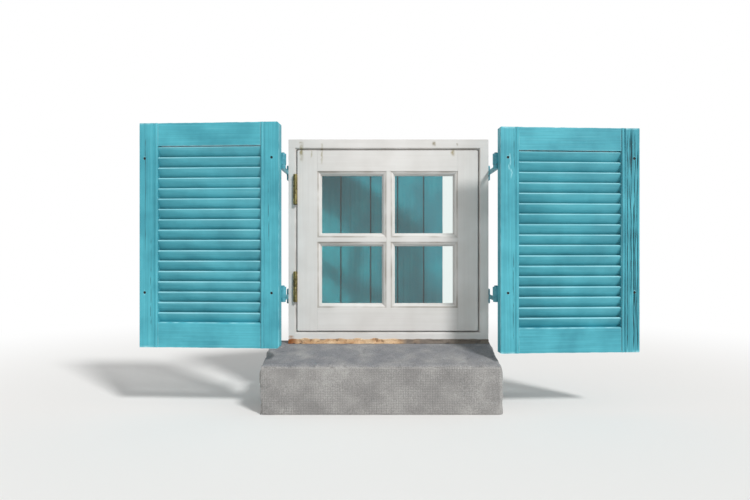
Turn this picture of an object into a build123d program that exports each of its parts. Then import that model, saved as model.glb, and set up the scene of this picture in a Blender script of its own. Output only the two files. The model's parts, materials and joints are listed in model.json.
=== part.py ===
from build123d import *
import os
from math import cos, radians, sin

# A small one-light casement window with glazing bars, hung outwards in its own frame
# on a stone sill, with two louvred outer shutters and a boarded inner shutter.
# X runs to the right, Y into the room and Z up. The origin lies under the middle of
# the frame, in the plane of the frame's outer face, at the underside of the sill.

os.makedirs("parts", exist_ok=True)

# Stone sill and the mortar bed on it
sill_reach_left = 57
sill_reach_right = 9
sill_front = -195
sill_back_reach = 2
sill_seat_height = 166
sill_nose_height = 134
sill_seat_front = -10
sill_wear = 12
mortar_thickness = 12
mortar_toe = 6
mortar_bulge_depth = 4.8
mortar_bulge_height = 7.2

# Frame
frame_width = 600
frame_height = 600
frame_depth = 68
jamb_face_left = 23
jamb_face_right = 28.5
head_face = 29.5
bottom_face = 22
stop_lap = 9
stop_play = 1.5
frame_arris = 4
frame_tenon_length = 14
frame_tenon_thickness = 14
frame_tenon_front = 12
anchor_radius = 4
anchor_inset = 62
anchor_depth = 57

# Sash
sash_gap = 3
sash_thickness = 45
sash_arris = 2
sash_corner_round = 4
stile_width = 73.5
top_rail_width = 76
bottom_rail_width = 82.5
bar_width = 39
upright_bar_x = 0
cross_bar_height = 299
moulding_width = 13
quirk_width = 1.5
quirk_depth = 2
lip_width = 1.5
lip_thickness = 4
glass_rebate = 9
glass_thickness = 4
glass_play = 2
bead_width = 8
bead_depth = 11
bead_joint = 0.1
sash_tenon_length = 30
bar_tenon_length = 12
sash_tenon_thickness = 10
sash_tenon_front = 23
sash_haunch = 12

# Lift-off hinges of the sash
hinge_height = 92
hinge_upper_inset = 118.5
hinge_lower_inset = 133
hinge_axis_inset = 2
hinge_knuckle_radius = 6
hinge_face_gap = 0.5
hinge_plate_thickness = 2
hinge_plate_recess = 1
hinge_plate_reach = 28
hinge_end_round = 2.5
hinge_pin_radius = 3.5
hinge_pin_length = 30
hinge_pin_chamfer = 1
pin_play = 0.06
hinge_rub_gap = 0.3

# Screws
hinge_screw_shank = 1.8
hinge_screw_head = 3.6
hinge_screw_length = 14
hinge_screw_rows = 3
hinge_screw_near = 17
hinge_screw_far = 7
pintle_screw_shank = 2.2
pintle_screw_head = 4.6
pintle_screw_length = 19
screw_play = 0.1
screw_slot = 0.9
screw_head_angle = 90

# Fastener of the sash
catch_inset = 36.5
catch_plate_width = 26
catch_plate_height = 64
catch_plate_thickness = 3
catch_screw_inset = 8
catch_post_radius = 9
catch_spindle_radius = 4
catch_lever_thickness = 5
catch_lever_width = 12
catch_tongue_length = 38
catch_grip_length = 72
catch_grip_width = 16
catch_head_radius = 6.5
catch_head_thickness = 1.6
catch_head_chamfer = 0.8
catch_hub_radius = 10.5
catch_rub_gap = 0.3
keep_thickness = 1.2
keep_width = 22
keep_height = 50
keep_corner_round = 3
keep_screw_edge = 5
keep_screw_inset = 8

# Louvred shutters
leaf_width = 393
leaf_height = 622
leaf_thickness = 33
leaf_left_drop = 2
leaf_right_drop = 16
leaf_tilt = 4
leaf_edge_gap = 2
leaf_stile_width = 52
leaf_top_rail_width = 63.5
leaf_bottom_rail_width = 70.5
leaf_rail_setback = 2
leaf_left_corner_round = 8
leaf_right_corner_round = 2.5
leaf_arris = 2
leaf_bead_width = 9
leaf_quirk_width = 2
leaf_quirk_depth = 2
leaf_rail_round = 5
leaf_tenon_length = 34
leaf_tenon_thickness = 11
leaf_haunch = 14
slat_count = 17
slat_chord = 42
slat_thickness = 7
slat_angle = 60
slat_top_gap = 1.5
slat_housing = 7
slat_play = 0.2

# Strap hinges and pintles of the shutters
pin_inset = 2
pin_y = -133
pin_radius = 5
pin_end_round = 2
pin_stand = 4
strap_upper_drop = 78
strap_lower_rise = 150
strap_thickness = 4
strap_height = 30
strap_tip_height = 22
strap_end_gap = 5
eye_play = 0.08
eye_rub_gap = 0.3
bolt_inset_hinge_stile = 21
bolt_inset_free_stile = 15
bolt_shank_radius = 3.5
bolt_head_radius = 8
bolt_head_height = 3
bolt_head_taper = 35
bolt_sunk = 2
bolt_play = 0.1
boss_radius = 8
boss_height = 12
tang_thickness = 6
foot_height = 44
foot_front = 8
foot_back = 60
foot_round = 6
foot_screw_inset = 14

# Boarded inner shutter
inner_pin_inset = 28
inner_pin_standoff = 23
inner_rest_angle = 30
inner_pin_radius = 4.5
inner_pin_stand = 3
inner_eye_wall = 3.4
inner_edge_gap = 1.5
inner_bottom_rise = 18
inner_height = 560
inner_board_thickness = 18
board_widths = [124, 110, 105, 106, 83]
board_vee = 4
tongue_length = 5
tongue_thickness = 6
ledge_thickness = 20
ledge_height = 70
ledge_inset = 60
ledge_end_inset = 14
ledge_arris = 4
inner_strap_height = 28
inner_strap_length = 190
inner_strap_gap = 12
inner_boss_height = 10
inner_boss_inset = 0.5
inner_plate_thickness = 3
inner_plate_width = 26
inner_plate_height = 60
inner_plate_margin = 2
inner_screw_inset = 10.4
inner_screw_spread = 20
inner_lug_width = 8
nail_radius = 1.6
nail_head_radius = 3.5
nail_head_height = 1
nail_bite = 12
nail_play = 0.05
ledge_nail_spread = 28
strap_nail_start = 45
strap_nail_pitch = 58

# Levels and edges that follow from these sizes
frame_left = -frame_width / 2
frame_right = frame_width / 2
frame_bottom_z = sill_seat_height + mortar_thickness
frame_top_z = frame_bottom_z + frame_height
sill_left = frame_left - sill_reach_left
sill_right = frame_right + sill_reach_right
sill_back = frame_depth + sill_back_reach
rebate_depth = sash_thickness + stop_play
stop_width = sash_gap + stop_lap
sash_left = frame_left + jamb_face_left + sash_gap
sash_right = frame_right - jamb_face_right - sash_gap
sash_bottom = frame_bottom_z + bottom_face + sash_gap
sash_top = frame_top_z - head_face - sash_gap
cross_bar_z = frame_bottom_z + cross_bar_height
hinge_upper_z = sash_top - hinge_upper_inset
hinge_lower_z = sash_bottom + hinge_lower_inset
catch_x = sash_right - catch_inset
pin_x = frame_right - pin_inset
strap_upper_z = frame_top_z - strap_upper_drop
strap_lower_z = frame_bottom_z + strap_lower_rise
leaf_left_bottom = frame_bottom_z - leaf_left_drop
leaf_right_bottom = frame_bottom_z - leaf_right_drop
inner_pin_x = frame_left + inner_pin_inset
inner_pin_y = frame_depth + inner_pin_standoff
inner_bottom = frame_bottom_z + inner_bottom_rise
pane_left = (sash_left + stile_width, upright_bar_x - bar_width / 2)
pane_right = (upright_bar_x + bar_width / 2, sash_right - stile_width)
pane_lower = (sash_bottom + bottom_rail_width, cross_bar_z - bar_width / 2)
pane_upper = (cross_bar_z + bar_width / 2, sash_top - top_rail_width)
ovolo_radius = moulding_width - quirk_width - lip_width
glass_front = quirk_depth + ovolo_radius + lip_thickness
glass_back = glass_front + glass_thickness


def write(piece, name):
    """Label a finished piece and write it to its own file."""
    piece.part.label = name
    export_step(piece.part, f"parts/{name}.step")


def block(x, y, z, mode=Mode.ADD):
    """A squared piece of material between three pairs of limits."""
    with Locations(((x[0] + x[1]) / 2, (y[0] + y[1]) / 2, (z[0] + z[1]) / 2)):
        Box(abs(x[1] - x[0]), abs(y[1] - y[0]), abs(z[1] - z[0]), mode=mode)


def wood_screw(seat, shank, head, length):
    """A slotted countersunk screw with its head flush in the seat plane."""
    above = (Align.CENTER, Align.CENTER, Align.MAX)
    with Locations(seat.location):
        Cylinder(shank, length, align=above)
        Cone(shank, head, head - shank, align=above)
        Box(2 * head, screw_slot, screw_slot, align=above, mode=Mode.SUBTRACT)


def screw_hole(seat, shank, head, length):
    """The countersunk hole that such a screw passes or bites into."""
    with Locations(seat.location):
        CounterSinkHole(shank + screw_play, head + screw_play, length + screw_play, screw_head_angle)


# Stone sill: one hewn block with a level seat for the frame and a nose that sheds water
with BuildPart() as stone_sill:
    with BuildSketch(Plane.YZ.offset(sill_left)):
        with BuildLine():
            Polyline(
                (sill_front, 0),
                (sill_front, sill_nose_height),
                (sill_seat_front, sill_seat_height),
                (sill_back, sill_seat_height),
                (sill_back, 0),
                close=True,
            )
        make_face()
    extrude(amount=sill_right - sill_left)
    nose = stone_sill.faces().sort_by(Axis.Y)[0]
    slope = stone_sill.faces().filter_by(lambda face: face.normal_at().Z > 0.5).sort_by(Axis.Y)[0]
    slope_edges = slope.edges().filter_by(lambda edge: edge.center().Y < sill_seat_front - sill_wear)
    worn = nose.edges().filter_by(Axis.Z) + slope_edges
    fillet(worn, sill_wear)
write(stone_sill, "stone_sill")

# Mortar bed with a small toe squeezed out in front of the frame
with BuildPart() as mortar_bed:
    with BuildSketch(Plane.YZ.offset(frame_left)):
        with BuildLine():
            Polyline(
                (0, frame_bottom_z),
                (frame_depth, frame_bottom_z),
                (frame_depth, sill_seat_height),
                (-mortar_toe, sill_seat_height),
            )
            ThreePointArc(
                (-mortar_toe, sill_seat_height),
                (-mortar_bulge_depth, sill_seat_height + mortar_bulge_height),
                (0, frame_bottom_z),
            )
        make_face()
    extrude(amount=frame_width)
write(mortar_bed, "mortar_bed")


def frame_section(outer, face):
    """Rebated section of a frame member, across from its outer edge and back in depth."""
    inward = 1 if face > outer else -1
    stop = face + inward * stop_width
    Polyline(
        (outer, 0),
        (face - inward * frame_arris, 0),
        (face, frame_arris),
        (face, rebate_depth),
        (stop, rebate_depth),
        (stop, frame_depth),
        (outer, frame_depth),
        close=True,
    )


def lying_plane(x):
    """Section plane across a level member: its first axis points up, its second into the room."""
    return Plane(origin=(x, 0, 0), x_dir=(0, 0, 1), z_dir=(-1, 0, 0))


head_edge = frame_top_z - head_face
bottom_edge = frame_bottom_z + bottom_face
jamb_edge_left = frame_left + jamb_face_left
jamb_edge_right = frame_right - jamb_face_right
frame_tenon_depth = (frame_tenon_front, frame_tenon_front + frame_tenon_thickness)
jamb_tenons = {
    "left": (frame_left, jamb_edge_left - frame_arris),
    "right": (jamb_edge_right + frame_arris, frame_right),
}

# Head and bottom of the frame run through, mortised for the jambs
for name, outer, face, inward in (
    ("frame_head", frame_top_z, head_edge, -1),
    ("frame_bottom", frame_bottom_z, bottom_edge, 1),
):
    with BuildPart() as rail:
        with BuildSketch(lying_plane(frame_right)):
            with BuildLine():
                frame_section(outer, face)
            make_face()
        extrude(amount=frame_width)
        for tenon in jamb_tenons.values():
            block(tenon, frame_tenon_depth, (face, face - inward * frame_tenon_length), Mode.SUBTRACT)
    write(rail, name)

# Seats of the screws that hold the frame halves of the sash hinges, and the sash halves
hinge_axis_x = jamb_edge_left - hinge_axis_inset
hinge_axis_y = -hinge_knuckle_radius - hinge_face_gap
frame_plate_x = (
    jamb_edge_left - hinge_plate_recess,
    jamb_edge_left - hinge_plate_recess + hinge_plate_thickness,
)
sash_plate_x = (
    sash_left + hinge_plate_recess - hinge_plate_thickness,
    sash_left + hinge_plate_recess,
)
hinge_plate_y = (hinge_axis_y, hinge_plate_reach)
half_height = hinge_height / 2


def plate_height(middle, upper):
    """Lowest and highest level of a hinge plate, the upper one belonging to the sash."""
    if upper:
        return (middle + hinge_rub_gap, middle + half_height - hinge_end_round)
    return (middle - half_height + hinge_end_round, middle - hinge_rub_gap)


def plate_screws(middle, upper):
    """The screws of a hinge plate, one above the other and staggered in depth."""
    low, high = plate_height(middle, upper)
    step = (high - low) / hinge_screw_rows
    seats = []
    for row in range(hinge_screw_rows):
        depth = hinge_plate_reach - (hinge_screw_far if row % 2 else hinge_screw_near)
        level = low + step * (row + 0.5)
        if upper:
            seats.append(Plane(origin=(sash_plate_x[0], depth, level), z_dir=(-1, 0, 0)))
        else:
            seats.append(Plane(origin=(frame_plate_x[1], depth, level), z_dir=(1, 0, 0)))
    return seats


hinge_levels = {"upper": hinge_upper_z, "lower": hinge_lower_z}
frame_screw_seats = plate_screws(hinge_upper_z, False) + plate_screws(hinge_lower_z, False)
sash_screw_seats = plate_screws(hinge_upper_z, True) + plate_screws(hinge_lower_z, True)

# Seats of the pintle screws, on the outer side of each jamb
eye_bottom = {"upper": strap_upper_z - strap_height / 2, "lower": strap_lower_z - strap_height / 2}
boss_top = {place: level - eye_rub_gap for place, level in eye_bottom.items()}


def foot_screws(place, side):
    """The two screws through the foot of a pintle, one above the other."""
    middle = boss_top[place] - boss_height / 2
    seats = []
    for lift in (-1, 1):
        level = middle + lift * (foot_height / 2 - foot_screw_inset)
        depth = (foot_front + foot_back) / 2 + lift * foot_screw_inset / 2
        seats.append(
            Plane(origin=(side * (frame_width / 2 + tang_thickness), depth, level), z_dir=(side, 0, 0))
        )
    return seats


# Seats of the screws of the inner pintle plates, on the room side of the left jamb
inner_ledge_levels = {
    "upper": inner_bottom + inner_height - ledge_inset - ledge_height / 2,
    "lower": inner_bottom + ledge_inset + ledge_height / 2,
}
inner_strap_shift = ledge_height / 2 + inner_strap_gap + inner_strap_height / 2
inner_strap_levels = {
    "upper": inner_ledge_levels["upper"] - inner_strap_shift,
    "lower": inner_ledge_levels["lower"] + inner_strap_shift,
}
inner_plate_end = inner_pin_x + inner_plate_margin
inner_plate_x = (inner_plate_end - inner_plate_width, inner_plate_end)


def inner_boss_top(place):
    """Level on which the eye of an inner strap turns."""
    return inner_strap_levels[place] - inner_strap_height / 2 - eye_rub_gap


def inner_plate_screws(place):
    """The two screws of an inner pintle plate, above and below its lug."""
    middle = inner_boss_top(place) - inner_boss_height / 2
    across = inner_plate_x[0] + inner_screw_inset
    back = frame_depth + inner_plate_thickness
    levels = (middle - inner_screw_spread, middle + inner_screw_spread)
    return [Plane(origin=(across, back, level), z_dir=(0, 1, 0)) for level in levels]


# The keep of the catch lies on the room side of the right jamb's stop, its plate on the sash
stop_edge_right = jamb_edge_right - stop_width
keep_x = (stop_edge_right, stop_edge_right + keep_width)
keep_back = frame_depth + keep_thickness
keep_spread = keep_height / 2 - keep_screw_inset
keep_seats = [
    Plane(origin=(keep_x[1] - keep_screw_edge, keep_back, cross_bar_z + lift), z_dir=(0, 1, 0))
    for lift in (-keep_spread, keep_spread)
]
catch_back = sash_thickness + catch_plate_thickness
catch_spread = catch_plate_height / 2 - catch_screw_inset
catch_seats = [
    Plane(origin=(catch_x, catch_back, cross_bar_z + lift), z_dir=(0, 1, 0))
    for lift in (-catch_spread, catch_spread)
]

# Jambs stand between head and bottom, scribed over their stops, with a stub tenon each end
for name, side, outer, face in (
    ("frame_jamb_left", "left", frame_left, jamb_edge_left),
    ("frame_jamb_right", "right", frame_right, jamb_edge_right),
):
    outward = -1 if side == "left" else 1
    stop = face - outward * stop_width
    with BuildPart() as jamb:
        with BuildSketch(Plane.XY.offset(frame_bottom_z)):
            with BuildLine():
                frame_section(outer, face)
            make_face()
        extrude(amount=frame_height)
        for end_outer, end_face in ((frame_top_z, head_edge), (frame_bottom_z, bottom_edge)):
            with BuildSketch(lying_plane(frame_right)):
                with BuildLine():
                    frame_section(end_outer, end_face)
                make_face()
            extrude(amount=frame_width, mode=Mode.SUBTRACT)
        tenon = jamb_tenons[side]
        block(tenon, frame_tenon_depth, (head_edge - frame_arris, head_edge + frame_tenon_length))
        block(tenon, frame_tenon_depth, (bottom_edge - frame_tenon_length, bottom_edge + frame_arris))
        for level in (frame_bottom_z + anchor_inset, frame_top_z - anchor_inset):
            with Locations(Plane(origin=(outer, anchor_depth, level), z_dir=(outward, 0, 0)).location):
                Hole(anchor_radius, abs(stop - outer))
        for place in ("upper", "lower"):
            for seat in foot_screws(place, outward):
                with Locations(seat.offset(-tang_thickness).location):
                    Hole(pintle_screw_shank + screw_play, pintle_screw_length)
        if side == "left":
            for middle in hinge_levels.values():
                block(frame_plate_x, (0, hinge_plate_reach), plate_height(middle, False), Mode.SUBTRACT)
            for seat in frame_screw_seats:
                screw_hole(seat, hinge_screw_shank, hinge_screw_head, hinge_screw_length)
            for place in ("upper", "lower"):
                for seat in inner_plate_screws(place):
                    screw_hole(seat, pintle_screw_shank, pintle_screw_head, pintle_screw_length)
        else:
            for seat in keep_seats:
                screw_hole(seat, hinge_screw_shank, hinge_screw_head, hinge_screw_length)
    write(jamb, name)


def sash_section(outer, inner):
    """Section of a sash member from its plain side to its moulded and rebated edge."""
    toward = 1 if inner > outer else -1
    shoulder = inner - toward * moulding_width
    ovolo_top = (shoulder + toward * quirk_width, quirk_depth)
    ovolo_foot = (inner - toward * lip_width, quirk_depth + ovolo_radius)
    ovolo_middle = (
        ovolo_top[0] + toward * ovolo_radius * sin(radians(45)),
        ovolo_foot[1] - ovolo_radius * cos(radians(45)),
    )
    rebate = inner - toward * glass_rebate
    Polyline((outer, 0), (shoulder, 0), (shoulder, quirk_depth), ovolo_top)
    ThreePointArc(ovolo_top, ovolo_middle, ovolo_foot)
    Polyline(
        ovolo_foot,
        (inner, ovolo_foot[1]),
        (inner, glass_front),
        (rebate, glass_front),
        (rebate, sash_thickness),
        (outer, sash_thickness),
        (outer, 0),
    )


shoulder_left = pane_left[0] - moulding_width
shoulder_right = pane_right[1] + moulding_width
core_left = pane_left[1] + moulding_width
core_right = pane_right[0] - moulding_width
sill_core = pane_lower[0] - moulding_width
cross_core = (pane_lower[1] + moulding_width, pane_upper[0] - moulding_width)
head_core = pane_upper[1] + moulding_width
sash_tenon_depth = (sash_tenon_front, sash_tenon_front + sash_tenon_thickness)
rail_tenon_levels = {
    "top": (head_core, sash_top - sash_haunch),
    "bottom": (sash_bottom + sash_haunch, sill_core),
}
bar_core_x = (core_left, core_right)


def fill_elevation(points):
    """Keep only what lies within an outline in the face of the sash."""
    with BuildSketch(Plane.XZ) as outline:
        with BuildLine():
            Polyline(*points, close=True)
        make_face()
    extrude(outline.sketch, amount=-sash_thickness, mode=Mode.INTERSECT)


# Stiles of the sash, full height, with the moulding mitred away at each rail and bar
for name, outer, inner, shoulder in (
    ("sash_stile_left", sash_left, pane_left[0], shoulder_left),
    ("sash_stile_right", sash_right, pane_right[1], shoulder_right),
):
    inward = 1 if inner > outer else -1
    with BuildPart() as stile:
        with BuildSketch(Plane.XY.offset(sash_bottom)):
            with BuildLine():
                sash_section(outer, inner)
            make_face()
        extrude(amount=sash_top - sash_bottom)
        fill_elevation(
            [
                (outer, sash_bottom),
                (shoulder, sash_bottom),
                (shoulder, sill_core),
                (inner, pane_lower[0]),
                (inner, pane_lower[1]),
                (shoulder, cross_core[0]),
                (shoulder, cross_core[1]),
                (inner, pane_upper[0]),
                (inner, pane_upper[1]),
                (shoulder, head_core),
                (shoulder, sash_top),
                (outer, sash_top),
            ]
        )
        for levels in rail_tenon_levels.values():
            mortise = (shoulder, shoulder - inward * sash_tenon_length)
            block(mortise, sash_tenon_depth, levels, Mode.SUBTRACT)
        bar_mortise = (shoulder, shoulder - inward * bar_tenon_length)
        block(bar_mortise, sash_tenon_depth, cross_core, Mode.SUBTRACT)
        corners = stile.edges().filter_by(Axis.Y).group_by(Axis.X)[0 if inward > 0 else -1]
        fillet(corners, sash_corner_round)
        front = stile.faces().filter_by(Axis.Y).sort_by(Axis.Y)[0]
        fillet([edge for edge in front.edges() if abs(edge.center().X - shoulder) > 0.01], sash_arris)
        if name == "sash_stile_left":
            for middle in hinge_levels.values():
                block(sash_plate_x, (0, hinge_plate_reach), plate_height(middle, True), Mode.SUBTRACT)
            for seat in sash_screw_seats:
                screw_hole(seat, hinge_screw_shank, hinge_screw_head, hinge_screw_length)
        else:
            for seat in catch_seats:
                screw_hole(seat, hinge_screw_shank, hinge_screw_head, hinge_screw_length)
    write(stile, name)

# Rails of the sash, shouldered between the stiles
for name, outer, inner, core, levels in (
    ("sash_rail_top", sash_top, pane_upper[1], head_core, rail_tenon_levels["top"]),
    ("sash_rail_bottom", sash_bottom, pane_lower[0], sill_core, rail_tenon_levels["bottom"]),
):
    away = 1 if outer > inner else -1
    with BuildPart() as rail:
        with BuildSketch(lying_plane(shoulder_right)):
            with BuildLine():
                sash_section(outer, inner)
            make_face()
        extrude(amount=shoulder_right - shoulder_left)
        fill_elevation(
            [
                (shoulder_left, outer),
                (shoulder_left, core),
                (pane_left[0], inner),
                (pane_left[1], inner),
                (core_left, core),
                (core_right, core),
                (pane_right[0], inner),
                (pane_right[1], inner),
                (shoulder_right, core),
                (shoulder_right, outer),
            ]
        )
        block((shoulder_left - sash_tenon_length, shoulder_left), sash_tenon_depth, levels)
        block((shoulder_right, shoulder_right + sash_tenon_length), sash_tenon_depth, levels)
        block(bar_core_x, sash_tenon_depth, (core, core + away * bar_tenon_length), Mode.SUBTRACT)
        front_arris = rail.edges().filter_by(Axis.X).filter_by(
            lambda edge: abs(edge.center().Z - outer) < 0.01 and edge.center().Y < 0.01
        )
        fillet(front_arris, sash_arris)
    write(rail, name)

# Upright glazing bar, in one length from rail to rail
with BuildPart() as glazing_bar_upright:
    with BuildSketch(Plane.XY.offset(sill_core)):
        for edge_x in (pane_left[1], pane_right[0]):
            with BuildLine():
                sash_section(upright_bar_x, edge_x)
            make_face()
    extrude(amount=head_core - sill_core)
    fill_elevation(
        [
            (core_left, sill_core),
            (pane_left[1], pane_lower[0]),
            (pane_left[1], pane_lower[1]),
            (core_left, cross_core[0]),
            (core_left, cross_core[1]),
            (pane_left[1], pane_upper[0]),
            (pane_left[1], pane_upper[1]),
            (core_left, head_core),
            (core_right, head_core),
            (pane_right[0], pane_upper[1]),
            (pane_right[0], pane_upper[0]),
            (core_right, cross_core[1]),
            (core_right, cross_core[0]),
            (pane_right[0], pane_lower[1]),
            (pane_right[0], pane_lower[0]),
            (core_right, sill_core),
        ]
    )
    block(bar_core_x, sash_tenon_depth, (sill_core - bar_tenon_length, sill_core))
    block(bar_core_x, sash_tenon_depth, (head_core, head_core + bar_tenon_length))
write(glazing_bar_upright, "glazing_bar_upright")

# Cross bars, scribed against the stiles and against the upright bar
for name, pane, stile_shoulder, bar_shoulder, inward in (
    ("glazing_bar_left", pane_left, shoulder_left, core_left, 1),
    ("glazing_bar_right", (pane_right[1], pane_right[0]), shoulder_right, core_right, -1),
):
    with BuildPart() as cross_bar:
        with BuildSketch(lying_plane(max(stile_shoulder, bar_shoulder))):
            for edge_z in (pane_lower[1], pane_upper[0]):
                with BuildLine():
                    sash_section(cross_bar_z, edge_z)
                make_face()
        extrude(amount=abs(bar_shoulder - stile_shoulder))
        fill_elevation(
            [
                (stile_shoulder, cross_core[0]),
                (pane[0], pane_lower[1]),
                (pane[1], pane_lower[1]),
                (bar_shoulder, cross_core[0]),
                (bar_shoulder, cross_core[1]),
                (pane[1], pane_upper[0]),
                (pane[0], pane_upper[0]),
                (stile_shoulder, cross_core[1]),
            ]
        )
        block((stile_shoulder, stile_shoulder - inward * bar_tenon_length), sash_tenon_depth, cross_core)
    write(cross_bar, name)

# Panes lie in the rebates from the room side
pane_places = {
    "upper_left": (pane_left, pane_upper),
    "upper_right": (pane_right, pane_upper),
    "lower_left": (pane_left, pane_lower),
    "lower_right": (pane_right, pane_lower),
}
pane_lap = glass_rebate - glass_play
for place, (across, levels) in pane_places.items():
    with BuildPart() as pane:
        block(
            (across[0] - pane_lap, across[1] + pane_lap),
            (glass_front, glass_back),
            (levels[0] - pane_lap, levels[1] + pane_lap),
        )
    write(pane, f"pane_{place}")

# Glazing beads, four mitred strips pinned round the back of each pane
with BuildPart() as glazing_beads:
    for across, levels in pane_places.values():
        left, right = across[0] - glass_rebate, across[1] + glass_rebate
        low, high = levels[0] - glass_rebate, levels[1] + glass_rebate
        cut = bead_width + bead_joint
        strips = [
            [(left + bead_joint, low), (right - bead_joint, low)]
            + [(right - cut, low + bead_width), (left + cut, low + bead_width)],
            [(left + bead_joint, high), (right - bead_joint, high)]
            + [(right - cut, high - bead_width), (left + cut, high - bead_width)],
            [(left, low + bead_joint), (left, high - bead_joint)]
            + [(left + bead_width, high - cut), (left + bead_width, low + cut)],
            [(right, low + bead_joint), (right, high - bead_joint)]
            + [(right - bead_width, high - cut), (right - bead_width, low + cut)],
        ]
        for corners in strips:
            with BuildSketch(Plane.XZ.offset(-glass_back)):
                with BuildLine():
                    Polyline(*corners, close=True)
                make_face()
            extrude(amount=-bead_depth)
write(glazing_beads, "glazing_beads")

# Lift-off hinges: the pin stands in the frame half, the sash half drops over it
upward = (Align.CENTER, Align.CENTER, Align.MIN)
downward = (Align.CENTER, Align.CENTER, Align.MAX)
for place, middle in hinge_levels.items():
    with BuildPart() as frame_half:
        with Locations((hinge_axis_x, hinge_axis_y, middle - hinge_rub_gap)):
            Cylinder(hinge_knuckle_radius, half_height - hinge_rub_gap, align=downward)
        fillet(frame_half.edges().group_by(Axis.Z)[0], hinge_end_round)
        with Locations((hinge_axis_x, hinge_axis_y, middle - hinge_rub_gap)):
            Cylinder(hinge_pin_radius, hinge_pin_length, align=upward)
        chamfer(frame_half.edges().group_by(Axis.Z)[-1], hinge_pin_chamfer)
        block(frame_plate_x, hinge_plate_y, plate_height(middle, False))
        for seat in plate_screws(middle, False):
            screw_hole(seat, hinge_screw_shank, hinge_screw_head, hinge_plate_thickness)
    write(frame_half, f"sash_hinge_{place}_frame_half")
    with BuildPart() as sash_half:
        with Locations((hinge_axis_x, hinge_axis_y, middle + hinge_rub_gap)):
            Cylinder(hinge_knuckle_radius, half_height - hinge_rub_gap, align=upward)
        fillet(sash_half.edges().group_by(Axis.Z)[-1], hinge_end_round)
        block(sash_plate_x, hinge_plate_y, plate_height(middle, True))
        with Locations((hinge_axis_x, hinge_axis_y, middle + hinge_rub_gap)):
            Cylinder(hinge_pin_radius + pin_play, hinge_pin_length, align=upward, mode=Mode.SUBTRACT)
        for seat in plate_screws(middle, True):
            screw_hole(seat, hinge_screw_shank, hinge_screw_head, hinge_plate_thickness)
    write(sash_half, f"sash_hinge_{place}_sash_half")

# Small brass screws on the frame, and those on the sash
with BuildPart() as frame_brass_screws:
    for seat in frame_screw_seats + keep_seats:
        wood_screw(seat, hinge_screw_shank, hinge_screw_head, hinge_screw_length)
write(frame_brass_screws, "frame_brass_screws")

with BuildPart() as sash_brass_screws:
    for seat in sash_screw_seats + catch_seats:
        wood_screw(seat, hinge_screw_shank, hinge_screw_head, hinge_screw_length)
write(sash_brass_screws, "sash_brass_screws")

# Catch: a post on the sash carries a lever whose tongue turns behind the keep on the frame
lever_front = keep_back + catch_rub_gap
lever_back = lever_front + catch_lever_thickness
with BuildPart() as catch_keep:
    with BuildSketch(Plane.XZ.offset(-frame_depth)):
        with Locations(((keep_x[0] + keep_x[1]) / 2, cross_bar_z)):
            RectangleRounded(keep_width, keep_height, keep_corner_round)
    extrude(amount=-keep_thickness)
    for seat in keep_seats:
        screw_hole(seat, hinge_screw_shank, hinge_screw_head, keep_thickness)
write(catch_keep, "catch_keep")

with BuildPart() as catch_base:
    with BuildSketch(Plane.XZ.offset(-sash_thickness)):
        with Locations((catch_x, cross_bar_z)):
            SlotOverall(catch_plate_height, catch_plate_width, rotation=90)
    extrude(amount=-catch_plate_thickness)
    with BuildSketch(Plane.XZ.offset(-catch_back)):
        with Locations((catch_x, cross_bar_z)):
            Circle(catch_post_radius)
    extrude(amount=-(lever_front - catch_rub_gap - catch_back))
    with BuildSketch(Plane.XZ.offset(-catch_back)):
        with Locations((catch_x, cross_bar_z)):
            Circle(catch_spindle_radius)
    extrude(amount=-(lever_back + catch_rub_gap - catch_back))
    with BuildSketch(Plane.XZ.offset(-(lever_back + catch_rub_gap))):
        with Locations((catch_x, cross_bar_z)):
            Circle(catch_head_radius)
    extrude(amount=-catch_head_thickness)
    chamfer(catch_base.edges().group_by(Axis.Y)[-1], catch_head_chamfer)
    for seat in catch_seats:
        screw_hole(seat, hinge_screw_shank, hinge_screw_head, catch_plate_thickness)
write(catch_base, "catch_base")

with BuildPart() as catch_lever:
    with BuildSketch(Plane.XZ.offset(-lever_front)):
        with Locations((catch_x, cross_bar_z)):
            Circle(catch_hub_radius)
        with Locations((catch_x, cross_bar_z - catch_tongue_length / 2)):
            SlotCenterToCenter(catch_tongue_length - catch_lever_width, catch_lever_width, rotation=90)
        with Locations((catch_x, cross_bar_z - catch_tongue_length / 4)):
            Rectangle(catch_lever_width, catch_tongue_length / 2)
        with BuildLine():
            Polyline(
                (catch_x, cross_bar_z + catch_lever_width / 2),
                (catch_x - catch_grip_length + catch_grip_width / 2, cross_bar_z + catch_grip_width / 2),
                (catch_x - catch_grip_length + catch_grip_width / 2, cross_bar_z - catch_grip_width / 2),
                (catch_x, cross_bar_z - catch_lever_width / 2),
                close=True,
            )
        make_face()
        with Locations((catch_x - catch_grip_length + catch_grip_width / 2, cross_bar_z)):
            Circle(catch_grip_width / 2)
        with Locations((catch_x, cross_bar_z)):
            Circle(catch_spindle_radius + pin_play, mode=Mode.SUBTRACT)
    extrude(amount=-catch_lever_thickness)
write(catch_lever, "catch_lever")

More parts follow.
